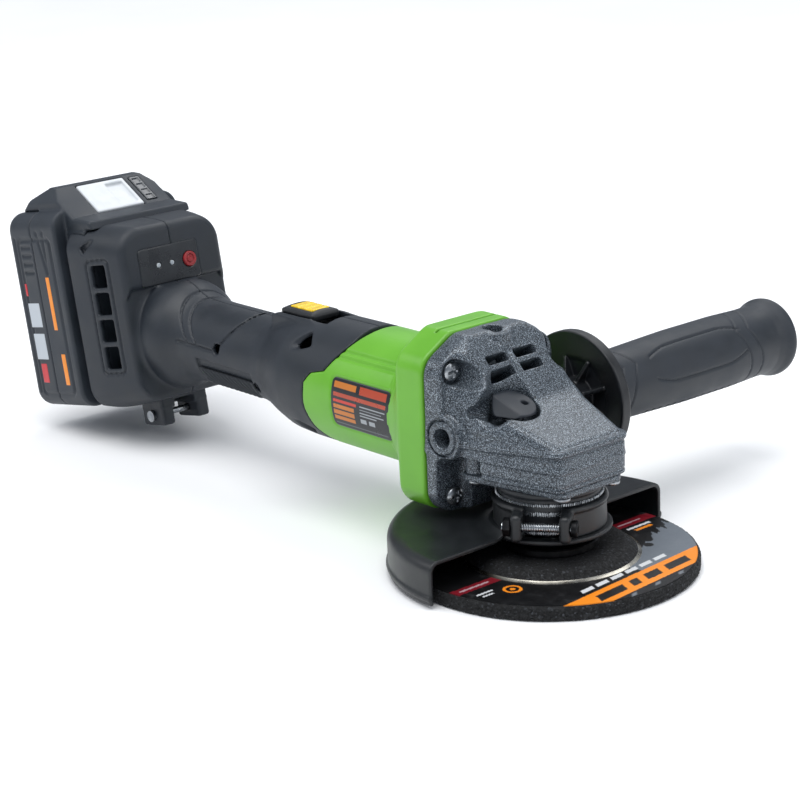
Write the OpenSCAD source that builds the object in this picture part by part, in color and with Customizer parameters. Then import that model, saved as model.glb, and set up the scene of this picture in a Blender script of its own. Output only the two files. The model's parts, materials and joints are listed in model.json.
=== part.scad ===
// Cordless angle grinder, in millimetres.
// The spindle stands on the Z axis with its threaded end at the origin.
// The motor axis runs back along -X, and the side handle stands out along +Y.

/* [Wheel and spindle] */
// Wheel diameter
wheel_d = 125; // [115:1:150]
// Wheel thickness
wheel_t = 6; // [4:0.5:7.5]
// Wheel bore
wheel_bore = 22.2; // [20:0.1:26]
// Depth of the pressed centre of the wheel
wheel_dish = 4.6; // [3.8:0.1:5.6]
// Diameter of the pressed centre
hub_d = 70; // [60:1:84]
// Spindle thread diameter
thread_d = 14; // [12:0.5:16.8]
// Diameter of the spindle at its bearing
journal_d = 12; // [10:0.5:14]

/* [Head] */
// Height of the motor axis above the end of the spindle
axis_h = 56; // [54:1:66]
// Spindle axis to the back of the gear case
case_reach = 40; // [38:1:48]
// Spindle axis to the nose
nose_reach = 26; // [25:1:31]
// Half width of the gear case flange
flange_half_w = 33; // [31:1:38]
// Half height of the gear case flange
flange_half_h = 34.5; // [33:0.5:38]
// Diameter of the neck that carries the guard
neck_d = 43.4; // [40:0.2:53]
// Diameter of the side handle thread
handle_thread_d = 8; // [7:0.5:10]
// Depth of the side handle sockets
socket_depth = 14; // [11.5:0.5:14]
// Diameter of the spindle lock button
lock_d = 18.5; // [15:0.5:20]
// Travel of the spindle lock button
lock_travel = 5; // [4:0.5:5.5]

/* [Gears] */
// Teeth on the crown gear
crown_teeth = 37; // [31:2:43]
// Teeth on the pinion
pinion_teeth = 11; // [9:2:13]
// Outer diameter of the crown gear
crown_d = 43; // [40:0.5:43.4]

/* [Guard] */
// Gap between the wheel's rim and the guard's skirt
guard_gap = 4; // [3.5:0.5:8]
// Height of the guard's top plate above the end of the spindle
guard_z = 17; // [16.6:0.2:18]
// Sheet thickness of the guard
guard_t = 1.8; // [1.2:0.1:2.2]

/* [Motor] */
// Length of the motor housing
housing_len = 78; // [74:1:94]
// Diameter of the motor barrel
barrel_d = 57; // [55:1:69]
// Length of the stator
stator_len = 30; // [25:1:34]
// Wall of the plastic housings
wall = 2.5; // [2:0.1:3]

/* [Grip and foot] */
// Diameter of the grip
grip_d = 40; // [38:1:48]
// Length from the motor housing to the battery foot
grip_len = 132; // [126:1:160]
// Width of the battery foot at its back
foot_w = 72; // [70:1:80]
// Depth of the battery foot
foot_d = 40; // [38:1:48]
// Lean of the battery foot
foot_tilt = 10; // [8:1:12]

/* [Battery pack] */
// Width of the pack
pack_w = 76; // [74:1:92]
// Length of the pack
pack_l = 99; // [98:1:118]
// Depth of the cell casing
pack_d = 44; // [43:1:52]

/* [Side handle] */
// Length of the side handle grip
handle_len = 124; // [100:1:150]
// Diameter of the side handle grip
handle_d = 32; // [28:1:38]
// Diameter of the hand guard disc
disc_d = 59; // [50:1:70]

/* [Hidden] */
$fn = 64;
eps = 0.01;
play = 0.1;
fit = 0.05;
hull_fn = 32;
motion_gap = 0.4;

// heights on the spindle
wheel_drop = 1;
hub_under = wheel_dish - wheel_drop;
hub_top = hub_under + wheel_t;
thread_r = thread_d / 2;
journal_r = journal_d / 2;
inner_flange_t = 6;
shoulder_z = hub_top + inner_flange_t;
shoulder_t = 2;
guard_r = wheel_d / 2 + guard_gap;
shoulder_r = thread_r + 2.2;
cover_z = axis_h - 18;
cover_t = 3;
case_z = cover_z + cover_t;
ball_race_t = 10;
ball_race_r = 16;
ball_race_z = cover_z - 4 - ball_race_t;
neck_z = guard_z + guard_t + 1;
neck_r = neck_d / 2;
bush_z = axis_h - 3.5;
bush_t = 8;
bush_r = 7;
bush_bore = 4;
spindle_top = bush_z + bush_t - 0.6;

// gears: the pinion runs on the motor axis above the crown gear
crown_r = crown_d / 2;
mesh_r = crown_r - 1.5;
face_w = 3;
pinion_pitch_r = mesh_r * pinion_teeth / crown_teeth;
addendum = 1.1;
dedendum = 1.4;
mesh_z = axis_h - pinion_pitch_r;
tooth_w = 1.2;
crown_root_z = mesh_z - dedendum;
crown_z = crown_root_z - 6.2;
lock_hole_r = 2.9;
lock_pin_r = 2.5;
lock_ring_r = crown_r - face_w - lock_hole_r - 1;
lock_x = -7;
lock_y = -sqrt(lock_ring_r * lock_ring_r - lock_x * lock_x);
lock_angle = atan2(lock_y, lock_x);
pinion_x = -mesh_r - face_w / 2 - 0.6;
pinion_w = face_w + 1.2;

// gear case
ridge_z = axis_h + 3;
roof_back_z = axis_h + 22;
roof_top_z = axis_h + 38.5;
boss_top_z = axis_h + 39.5;
case_x = -case_reach;
flange_r = 10;
case_flange_t = 11;
socket_x = case_x + 10;
boss_half = flange_half_w + 0.5;
screw_y = flange_half_w - 8;
screw_z = flange_half_h - 7.5;
corner_screw_r = 2.5;
corner_head_r = 4.2;
corner_seat_x = case_x + 8;
motor_race_r = 11;
motor_race_t = 7;
motor_race_bore = 4;
motor_race_x = case_x + 6;
lock_top_z = axis_h + 17;
lock_seat_z = bush_z + bush_t + 0.5;
cover_screw_r = 2;
cover_head_r = 3.6;
cover_head_t = 2.4;

// motor
barrel_r = barrel_d / 2;
bore_r = barrel_r - wall - 1;
housing_x = case_x - housing_len;
house_flange_t = 16;
fan_x = case_x - 18;
fan_t = 11;
fan_r = bore_r - 1.2;
baffle_x = fan_x - 3.5;
stator_x = baffle_x - 10 - stator_len;
coil_t = 7.5;
rotor_r = 12.6;
shaft_r = 4;
rear_wall_t = 9;
rear_race_x = housing_x + 1;
rear_shaft_x = rear_race_x + 0.5;
link_screw_at = bore_r * 0.66;
link_screw_r = 2;
link_head_r = 3.6;
seam_lean = 13;

// grip and foot: the foot frame sits on the motor axis and leans back
grip_r = grip_d / 2;
foot_x = housing_x - grip_len;
foot_half_w = foot_w / 2;
foot_top = 58;
foot_bottom = -30;
bell_r = 30.5;
dock_gap = 3;
dock_depth = 14;
dock_half_w = 31;
dock_floor = -foot_d + dock_depth;
dock_bottom = -24;
dock_top = 55.4;
rail_t = 3;
rail_n = -foot_d + 5;
rail_w = 6;
hook_u = 47;
hook_h = 6;
hook_half_w = 10;
switch_x = foot_x + 98;
switch_travel = 8;
switch_len = 23;
switch_half_w = 8;
switch_flat = barrel_r - 4.2;
pad_x = 34;
pad_len = 42;
pad_start_angle = 14;
pad_span = 50;
pad_depth = 0.9;

// status panel, its lights and the power button, in the foot frame
panel_half_w = 15;
panel_low = 27.5;
panel_high = 43;
lights_y = [-9, -1];
light_r = 1.2;
power_y = 9.4;
power_u = 34.5;
power_r = 3.75;

// terminals and the wrench clip, in the foot frame
terminal_spots = [-9, 0, 9];
clip_low = -45;
clip_half_w = 14;
clip_screw_r = 1.6;
clip_n = -11;
clip_hole_n = clip_n - 9;
clip_hole_u = clip_low + 5;

// battery pack, in the foot frame
pack_n = -foot_d - dock_gap;
pack_half_w = pack_w / 2;
pack_top = 67;
pack_bottom = pack_top - pack_l;
case_split = pack_n - pack_d / 2;
cell_d = 18.2;
cell_l = 65;
cell_pitch = 18.4;
cell_rows = 5;
cell_n = pack_n - pack_d / 2;
cell_mid_u = (pack_top + pack_bottom) / 2;
stage_half_w = dock_half_w - motion_gap;
stage_n = dock_floor - 1;
press_travel = 3.5;

// side handle
handle_x = socket_x;
disc_y = boss_half + 16;
disc_r = disc_d / 2;
handle_r = handle_d / 2;
stud_r = handle_thread_d / 2;
socket_r = stud_r + fit;

// ---------- shared shapes ----------

// a tube or, without a bore, a rod standing on z
module ring(r, h, bore = 0) {
  difference() {
    cylinder(r = r, h = h);
    if (bore > 0) translate([0, 0, -1]) cylinder(r = bore, h = h + 2);
  }
}

// children turned so that their Z runs along +X from x, on the motor axis
module on_motor_axis(x, y = 0, z = 0) {
  translate([x, y, axis_h + z]) rotate([0, 90, 0]) children();
}

// children in the frame of the battery foot: X forward, Z up along the pack's slide
module in_foot() {
  translate([foot_x, 0, axis_h]) rotate([0, -foot_tilt, 0]) children();
}

// rounded rectangle across the motor axis, from x forwards by t
module section_plate(x, t, half_w, low, high, r) {
  for (y = [-half_w + r, half_w - r])
    for (z = [low + r, high - r])
      translate([x, y, z]) rotate([0, 90, 0]) cylinder(r = r, h = t, $fn = hull_fn);
}

// box given by its two corners
module block(a, b) {
  translate(a) cube(b - a);
}

// outline of the lower case, spread over hub height
module skirt_posts(z, h, inset = 0) {
  front_r = 6.5;
  back_r = 7;
  for (s = [-1, 1]) {
    translate([nose_reach - front_r, s * (nose_reach - 5 - front_r), z])
      cylinder(r = front_r - inset, h = h, $fn = hull_fn);
    translate([-21, s * (flange_half_w - 4 - back_r), z])
      cylinder(r = back_r - inset, h = h, $fn = hull_fn);
  }
}

// screw along -X: head in front of x, shank behind it
module screw_back(x, shank_r, shank_l, head_r, head_t) {
  translate([x - shank_l, 0, 0]) rotate([0, 90, 0]) cylinder(r = shank_r, h = shank_l);
  difference() {
    translate([x, 0, 0]) rotate([0, 90, 0]) cylinder(r = head_r, h = head_t);
    block([x + head_t * 0.4, -head_r * 0.6, -0.5], [x + head_t + 1, head_r * 0.6, 0.5]);
    block([x + head_t * 0.4, -0.5, -head_r * 0.6], [x + head_t + 1, 0.5, head_r * 0.6]);
  }
}

// ---------- head ----------

cover_spots = [[nose_reach - 4.5, nose_reach - 11.5], [nose_reach - 4.5, 11.5 - nose_reach],
  [-20.5, flange_half_w - 11], [-20.5, 11 - flange_half_w]];
corner_spots = [for (y = [-1, 1]) for (z = [-1, 1]) [y * screw_y, z * screw_z]];

module case_body() {
  hull() section_plate(case_x, case_flange_t, flange_half_w, axis_h - flange_half_h,
    axis_h + flange_half_h, flange_r);
  hull() skirt_posts(case_z, ridge_z - case_z);
  hull() {
    skirt_posts(ridge_z - 1, 1, 0.8);
    section_plate(case_x + 8, 2, flange_half_w - 4, ridge_z - 14, roof_back_z, 6);
  }
  hull() {
    section_plate(case_x + 3, 4, flange_half_w - 12, axis_h, roof_top_z, 5);
    section_plate(case_x + 20, 2, flange_half_w - 9, axis_h, roof_back_z - 3, 6);
  }
  translate([case_x + 8, 0, axis_h]) cylinder(r = 8, h = boss_top_z - axis_h);
  translate([socket_x, -boss_half, axis_h]) rotate([-90, 0, 0])
    cylinder(r = 9, h = 2 * boss_half);
}

// air space behind the roof slots, round the top socket
module air_duct() {
  difference() {
    union() {
      block([case_x - 1, -18, axis_h + 16.5], [case_x + 7, 18, roof_back_z + 9]);
      block([case_x, -18, axis_h + 16.5], [case_x + 14, 18, roof_back_z]);
    }
    translate([case_x + 8, 0, axis_h]) cylinder(r = 7, h = 60);
  }
  for (y = [-1, 1])
    for (row = [0, 1])
      translate([case_x + 12 + 5.5 * row, y * 9, roof_back_z + 10 - 7 * row])
        rotate([0, -38, 0]) block([-12, -6.3, -2.1], [12, 6.3, 2.1]);
}

module gear_case() {
  color("dimgray") difference() {
    case_body();
    // crown gear chamber and the pinion's window into it
    translate([0, 0, case_z - 1]) cylinder(r = crown_r + 1, h = mesh_z + addendum + 2 - case_z);
    on_motor_axis(pinion_x - 1) cylinder(r = pinion_pitch_r + addendum + 1.2, h = pinion_w + 3);
    // spindle bush
    translate([0, 0, axis_h - 8]) cylinder(r = bush_r - 1.6, h = 9);
    translate([0, 0, bush_z]) cylinder(r = bush_r + fit, h = bush_t);
    // motor bearing and shaft
    on_motor_axis(case_x - 1) cylinder(r = motor_race_r + fit, h = motor_race_x + motor_race_t - case_x + 1);
    on_motor_axis(case_x) cylinder(r = motor_race_r - 2, h = 20);
    on_motor_axis(case_x - 1) cylinder(r = fan_r * 0.85, h = 4);
    // side and top handle sockets
    for (s = [-1, 1])
      translate([socket_x, s * (boss_half + 1), axis_h]) rotate([s * 90, 0, 0])
        cylinder(r = socket_r, h = socket_depth + 1);
    translate([case_x + 8, 0, boss_top_z - socket_depth]) cylinder(r = socket_r, h = socket_depth + 1);
    // corner screws and their pockets
    for (p = corner_spots) {
      on_motor_axis(case_x - 1, p[0], p[1]) cylinder(r = corner_screw_r + play, h = 12);
      on_motor_axis(corner_seat_x, p[0], p[1]) cylinder(r = corner_head_r + 1.6, h = 60);
    }
    // cover screws
    for (p = cover_spots)
      translate([p[0], p[1], case_z - 1]) cylinder(r = cover_screw_r + play, h = 10);
    // spindle lock: button pocket, its open side and the pin's bore
    translate([lock_x, lock_y, lock_seat_z]) cylinder(r = lock_d / 2 + motion_gap, h = 40);
    translate([lock_x, lock_y, case_z]) cylinder(r = lock_pin_r + fit, h = 30);
    translate([lock_x, lock_y, lock_top_z - 4]) rotate([35, 0, -20])
      block([-20, -16, 0], [lock_d / 2, 2, 20]);
    air_duct();
  }
}

module bearing_cover() {
  color("slategray") difference() {
    union() {
      hull() skirt_posts(cover_z, cover_t, 1);
      translate([0, 0, neck_z]) cylinder(r = neck_r, h = cover_z - neck_z + eps);
    }
    translate([0, 0, neck_z - 1]) cylinder(r = shoulder_r + 1.5, h = 60);
    translate([0, 0, ball_race_z]) cylinder(r = ball_race_r + fit, h = 60);
    for (p = cover_spots)
      translate([p[0], p[1], cover_z - 1]) cylinder(r = cover_screw_r + play, h = 10);
    // scallops in a wide neck, so that the heads and a driver pass
    for (p = cover_spots)
      translate([p[0], p[1], neck_z - 1]) cylinder(r = cover_head_r + play, h = cover_z - neck_z + 1);
  }
}

module cover_screws() {
  color("silver") for (p = cover_spots)
    translate([p[0], p[1], cover_z]) {
      cylinder(r = cover_screw_r, h = 10);
      difference() {
        translate([0, 0, -cover_head_t]) cylinder(r = cover_head_r, h = cover_head_t);
        block([-2.2, -0.4, -3], [2.2, 0.4, -1.4]);
        block([-0.4, -2.2, -3], [0.4, 2.2, -1.4]);
      }
    }
}

module case_screws() {
  color("silver") for (p = corner_spots)
    translate([0, p[0], axis_h + p[1]])
      screw_back(corner_seat_x, corner_screw_r, 22, corner_head_r, 3);
}

module spindle() {
  color("silver") difference() {
    union() {
      cylinder(r = thread_r, h = shoulder_z);
      translate([0, 0, shoulder_z]) cylinder(r = shoulder_r, h = shoulder_t);
      translate([0, 0, shoulder_z]) cylinder(r = journal_r + 1.5, h = ball_race_z - shoulder_z);
      translate([0, 0, shoulder_z]) cylinder(r = journal_r, h = crown_root_z - shoulder_z);
      translate([0, 0, shoulder_z]) cylinder(r = bush_bore - fit, h = spindle_top - shoulder_z);
    }
    translate([0, 0, -1]) cylinder(r = 2.5, h = 9);
  }
}

// one crown tooth, tapering up, on the side of the pinion
module crown_tooth() {
  rotate([90, 0, 90]) translate([0, 0, crown_r - face_w]) linear_extrude(height = face_w)
    polygon([[-tooth_w * 0.8, crown_root_z - 0.2], [tooth_w * 0.8, crown_root_z - 0.2],
      [tooth_w * 0.28, mesh_z + addendum * 0.8], [-tooth_w * 0.28, mesh_z + addendum * 0.8]]);
}

module crown_gear() {
  color("dimgray") difference() {
    union() {
      translate([0, 0, crown_z]) cylinder(r = crown_r, h = crown_root_z - crown_z);
      translate([0, 0, ball_race_z + ball_race_t + 0.2])
        cylinder(r = journal_r + 3, h = crown_root_z - ball_race_z - ball_race_t - 0.2);
      for (i = [0 : crown_teeth - 1])
        rotate([0, 0, 180 + (i + 0.5) * 360 / crown_teeth]) crown_tooth();
    }
    translate([0, 0, ball_race_z]) cylinder(r = journal_r + fit, h = 60);
    for (i = [0 : 7])
      rotate([0, 0, lock_angle + i * 45]) translate([lock_ring_r, 0, crown_z - 1])
        cylinder(r = lock_hole_r, h = 12);
  }
}

module spindle_bearing() {
  color("silver") translate([0, 0, ball_race_z]) difference() {
    ring(ball_race_r, ball_race_t, journal_r + fit);
    translate([0, 0, -1]) ring(ball_race_r - 3, 2, journal_r + 3);
    translate([0, 0, ball_race_t - 1]) ring(ball_race_r - 3, 2, journal_r + 3);
  }
}

module spindle_bush() {
  color("goldenrod") translate([0, 0, bush_z]) ring(bush_r, bush_t, bush_bore + 0.02);
}

module inner_flange() {
  color("gray") difference() {
    union() {
      translate([0, 0, hub_top]) cylinder(r = 20.5, h = 3.4);
      translate([0, 0, hub_top]) cylinder(r = 14, h = inner_flange_t);
      translate([0, 0, hub_top - wheel_t / 2 + 0.3]) cylinder(r = wheel_bore / 2 - fit, h = wheel_t / 2);
    }
    cylinder(r = thread_r + fit, h = 40);
  }
}

// section of the pressed wheel: flat rim, slope and raised centre
function wheel_profile(low, high, bore, outer) = [[bore, hub_under + low], [hub_d / 2 - 4, hub_under + low],
  [hub_d / 2 + 1.5, low - wheel_drop], [outer, low - wheel_drop], [outer, high - wheel_drop],
  [hub_d / 2 + 2.5, high - wheel_drop], [hub_d / 2 - 3, hub_under + high], [bore, hub_under + high]];

module grinding_wheel() {
  color("darkslategray")
    rotate_extrude($fn = 96) polygon(wheel_profile(0, wheel_t, wheel_bore / 2, wheel_d / 2));
}

module wheel_label() {
  label_t = 0.3;
  color("orange") translate([0, 0, wheel_t - wheel_drop])
    ring(wheel_d / 2 - 5, label_t, hub_d / 2 + 3);
}

module lock_nut() {
  nut_t = hub_under - 0.6;
  color("gray") difference() {
    union() {
      translate([0, 0, 0.6]) cylinder(r = 21, h = nut_t);
      translate([0, 0, hub_under]) cylinder(r = wheel_bore / 2 - fit, h = wheel_t / 2 - 0.3);
    }
    translate([0, 0, -1]) cylinder(r = thread_r + fit, h = 20);
    for (i = [0 : 3])
      rotate([0, 0, 45 + i * 90]) translate([15.5, 0, 0]) cylinder(r = 2.4, h = 0.6 + nut_t * 0.7);
  }
}

// ---------- guard ----------

guard_bottom = 0.4;
band_h = 13;
band_z = guard_z + guard_t;
band_r = neck_r + 2;
lug_angle = -53;

module guard_shell() {
  rim = guard_r + guard_t;
  color("black") difference() {
    translate([0, 0, guard_bottom]) rotate([0, 0, 90]) rotate_extrude(angle = 180, $fn = 96) difference() {
      union() {
        square([rim - 3, guard_z + guard_t - guard_bottom]);
        square([rim, guard_z + guard_t - 3 - guard_bottom]);
        translate([rim - 3, guard_z + guard_t - 3 - guard_bottom]) circle(r = 3);
        translate([0, 2]) square([rim + 0.8, 1.6]);
      }
      translate([-1, -1]) square([guard_r - 1, guard_z - guard_bottom + 1]);
      translate([-1, -1]) square([guard_r + 1, guard_z - guard_bottom - 1.2]);
    }
    translate([0, 0, -1]) cylinder(r = neck_r - 1, h = 40);
  }
  // front half of the ring that the band is welded to
  color("black") translate([0, 0, guard_z]) ring(band_r + 2.4, guard_t, neck_r - 1);
}

module clamp_band() {
  color("black") difference() {
    union() {
      translate([0, 0, band_z]) ring(band_r, band_h, neck_r + 0.06);
      rotate([0, 0, lug_angle]) for (s = [-1, 1])
        translate([0, s * 10, 0])
          block([neck_r - 3, -2.5, band_z], [band_r + 6.5, 2.5, band_z + band_h - 1]);
    }
    translate([0, 0, band_z - 1]) cylinder(r = neck_r + 0.06, h = 40);
    rotate([0, 0, lug_angle]) block([neck_r - 8, -3, band_z - 1], [band_r + 10, 3, band_z + band_h + 1]);
    rotate([0, 0, lug_angle]) translate([band_r + 3, 20, band_z + band_h / 2]) rotate([90, 0, 0])
      cylinder(r = 2.1, h = 40);
  }
}

module clamp_screw() {
  color("silver") rotate([0, 0, lug_angle]) translate([band_r + 3, 0, band_z + band_h / 2]) {
    translate([0, 16, 0]) rotate([90, 0, 0]) cylinder(r = 2, h = 32);
    translate([0, 12.5, 0]) rotate([-90, 0, 0]) cylinder(r = 3.6, h = 2.6);
    translate([0, -12.5, 0]) rotate([90, 0, 0]) cylinder(r = 3.9, h = 3, $fn = 6);
  }
}

// ---------- spindle lock ----------

module lock_button() {
  top = lock_top_z;
  seat = lock_seat_z + lock_travel + 1.2;
  color("black") difference() {
    translate([lock_x, lock_y, 0]) {
      translate([0, 0, seat]) cylinder(r = lock_d / 2, h = top - seat);
      translate([0, 0, crown_root_z + 1.6]) cylinder(r = lock_pin_r, h = seat - crown_root_z);
    }
    // the face falls with the roof, and a finger flat falls to the side
    translate([lock_x, lock_y, top - 3]) rotate([0, 20, 0]) block([-30, -30, 0], [30, 30, 20]);
    translate([lock_x, lock_y - 1, top - 3.4]) rotate([38, 0, -24]) block([-30, -30, 0], [30, 1, 20]);
    translate([lock_x + 2.5, lock_y + 4, seat + 1]) cylinder(r = 1.4, h = 20);
  }
}

module lock_spring() {
  color("silver") translate([lock_x, lock_y, lock_seat_z + 0.1])
    ring(lock_pin_r + 2.4, lock_travel + 1, lock_pin_r + 0.6);
}

// ---------- motor ----------

module pinion_outline() {
  half = 360 / pinion_teeth / 2;
  outer = pinion_pitch_r + addendum;
  root = pinion_pitch_r - dedendum;
  tip_w = tooth_w * 0.32;
  root_w = tooth_w * 0.72;
  circle(r = root);
  for (i = [0 : pinion_teeth - 1])
    rotate([0, 0, i * 2 * half])
      polygon([[root * 0.8, -root_w], [outer, -tip_w], [outer, tip_w], [root * 0.8, root_w]]);
}

module pinion() {
  color("silver") difference() {
    on_motor_axis(pinion_x) linear_extrude(height = pinion_w) pinion_outline();
    on_motor_axis(pinion_x - 1) cylinder(r = 2.5 + fit, h = 20);
  }
}

module rotor_shaft() {
  color("lightgray") {
    on_motor_axis(rear_shaft_x) cylinder(r = shaft_r - fit, h = pinion_x - rear_shaft_x);
    on_motor_axis(pinion_x - 1) cylinder(r = 2.5, h = pinion_w + 2);
  }
}

module rotor_core() {
  color("darkgray") on_motor_axis(stator_x) difference() {
    ring(rotor_r, stator_len, shaft_r);
    for (i = [0 : 3])
      rotate([0, 0, i * 90]) block([8, -6, -1], [10, 6, stator_len + 1]);
  }
}

module cooling_fan() {
  blades = 15;
  color("darkslategray") on_motor_axis(fan_x) {
    ring(8, fan_t, shaft_r);
    ring(fan_r, 1.4, shaft_r);
    for (i = [0 : blades - 1])
      rotate([0, 0, i * 360 / blades]) block([7.6, -0.6, 0.5], [fan_r - 0.4, 0.6, fan_t - 1]);
  }
}

module fan_baffle() {
  color("black") on_motor_axis(baffle_x) ring(bore_r - play, 2, 17);
}

module motor_race(x) {
  color("silver") on_motor_axis(x) difference() {
    ring(motor_race_r, motor_race_t, motor_race_bore);
    translate([0, 0, -1]) ring(motor_race_r - 2, 1.6, motor_race_bore + 2);
    translate([0, 0, motor_race_t - 0.6]) ring(motor_race_r - 2, 1.6, motor_race_bore + 2);
  }
}

module front_bearing() { motor_race(motor_race_x); }

module rear_bearing() { motor_race(rear_race_x); }

module stator_core() {
  slots = 6;
  color("gray") on_motor_axis(stator_x) difference() {
    ring(bore_r - play, stator_len, rotor_r + 0.6);
    for (i = [0 : slots - 1])
      rotate([0, 0, i * 360 / slots]) block([rotor_r, -1.2, -1], [rotor_r + 2.4, 1.2, stator_len + 1]);
  }
}

module stator_coils() {
  coils = 6;
  color("chocolate") for (x = [stator_x - coil_t, stator_x + stator_len])
    on_motor_axis(x) intersection() {
      ring(bore_r - 2, coil_t, rotor_r + 2.6);
      for (i = [0 : coils - 1])
        rotate([0, 0, 30 + i * 360 / coils]) block([rotor_r, -6.6, 0], [bore_r, 6.6, coil_t]);
    }
}

// side outline of the joint between the motor housing and the grip shells
module seam_mask(gap) {
  b = housing_x + gap;
  rotate([90, 0, 0]) translate([0, 0, -60]) linear_extrude(height = 120)
    polygon([[b + seam_lean, axis_h + 60], [b + seam_lean, axis_h + 26], [b + seam_lean - 8, axis_h + 14],
      [b - seam_lean + 8, axis_h + 10], [b - seam_lean + 4, axis_h - 16], [b - 2, axis_h - 30],
      [b - 2, axis_h - 60], [60, axis_h - 60], [60, axis_h + 60]]);
}

link_spots = [for (a = [45 : 90 : 315]) [link_screw_at * cos(a), link_screw_at * sin(a)]];

module motor_housing() {
  flange_x = case_x - house_flange_t;
  color("limegreen") difference() {
    union() {
      hull() section_plate(flange_x, house_flange_t, flange_half_w, axis_h - flange_half_h,
        axis_h + flange_half_h, flange_r);
      hull() {
        section_plate(flange_x, 1, flange_half_w - 1, axis_h - flange_half_h + 1,
          axis_h + flange_half_h - 1, flange_r);
        on_motor_axis(flange_x - 11) cylinder(r = barrel_r, h = 1, $fn = hull_fn);
      }
      intersection() {
        on_motor_axis(housing_x - seam_lean) cylinder(r = barrel_r, h = housing_len);
        seam_mask(0);
      }
      on_motor_axis(housing_x) cylinder(r = barrel_r - wall - 0.2, h = rear_wall_t);
    }
    // motor bore, rear wall and its bearing seat
    on_motor_axis(housing_x + rear_wall_t) cylinder(r = bore_r, h = housing_len);
    on_motor_axis(housing_x - seam_lean - 1) cylinder(r = barrel_r - wall, h = seam_lean + 1);
    on_motor_axis(rear_race_x) cylinder(r = motor_race_r + fit, h = 20);
    for (i = [0 : 5])
      on_motor_axis(housing_x - 1) rotate([0, 0, i * 60])
        translate([bore_r * 0.66, 0, 0]) cylinder(r = 3, h = 20);
    for (p = link_spots)
      on_motor_axis(housing_x - 1, p[1], p[0]) cylinder(r = link_screw_r + play, h = 20);
    for (p = corner_spots)
      on_motor_axis(case_x - house_flange_t, p[0], p[1])
        cylinder(r = corner_screw_r + play, h = house_flange_t + 1);
    // bed of the rating plate
    plate_band(barrel_r - 0.5, 3, play);
  }
}

// curved band on the right flank of the barrel
module plate_band(r, t, gap) {
  on_motor_axis(housing_x + 12 - gap) rotate([0, 0, 246 - gap])
    rotate_extrude(angle = 48 + 2 * gap) translate([r, 0]) square([t, housing_len - 39 + 2 * gap]);
}

module label_plate() {
  color("black") plate_band(barrel_r - 0.5, 0.6, 0);
}

// ---------- grip shells and battery foot ----------

// radius of the grip body along the axis, forward from the foot
grip_stations = [[grip_len + 13, barrel_r], [grip_len - 24, barrel_r - 0.6],
  [grip_len - 40, barrel_r * 0.5 + grip_r * 0.5], [grip_len - 52, grip_r + 0.8], [grip_len - 58, grip_r],
  [30, grip_r], [22, grip_r + 1.6], [15, grip_r + 4.6], [8, bell_r - 3.4], [0, bell_r], [-12, bell_r]];

module grip_revolve(inset) {
  translate([foot_x, 0, axis_h]) rotate([0, 90, 0]) rotate_extrude()
    polygon(concat([for (s = grip_stations) [s[1] - inset, s[0]]], [[0, -12], [0, grip_len + 13]]));
}

module foot_block(inset, back, front) {
  in_foot() hull() {
    for (s = [-1, 1])
      for (u = [[foot_bottom, 12], [foot_top, 12]]) {
        side = u[0] > 0 ? -1 : 1;
        translate([back, s * (foot_half_w - u[1]), u[0] + side * u[1]]) rotate([0, 90, 0])
          cylinder(r = u[1] - inset, h = 1, $fn = hull_fn);
        translate([front - 1, s * (foot_half_w - 6 - u[1]), u[0] * 0.93 + side * u[1]])
          rotate([0, 90, 0]) cylinder(r = u[1] - inset, h = 1, $fn = hull_fn);
      }
  }
}

// screws that clamp the two shells, in x and z
shell_spots = [[foot_x + 50, 4], [foot_x + 79, -9], [foot_x + 6, 12]];
foot_spots = [[-12, 47], [-12, -18]];
shell_screw_half = [grip_r - 6, grip_r - 6, grip_r + 2];

module shell_posts(r, half) {
  for (p = shell_spots)
    translate([p[0], half, axis_h + p[1]]) rotate([90, 0, 0]) cylinder(r = r, h = 2 * half);
  in_foot() for (p = foot_spots)
    translate([p[0], half, p[1]]) rotate([90, 0, 0]) cylinder(r = r, h = 2 * half);
}

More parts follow.
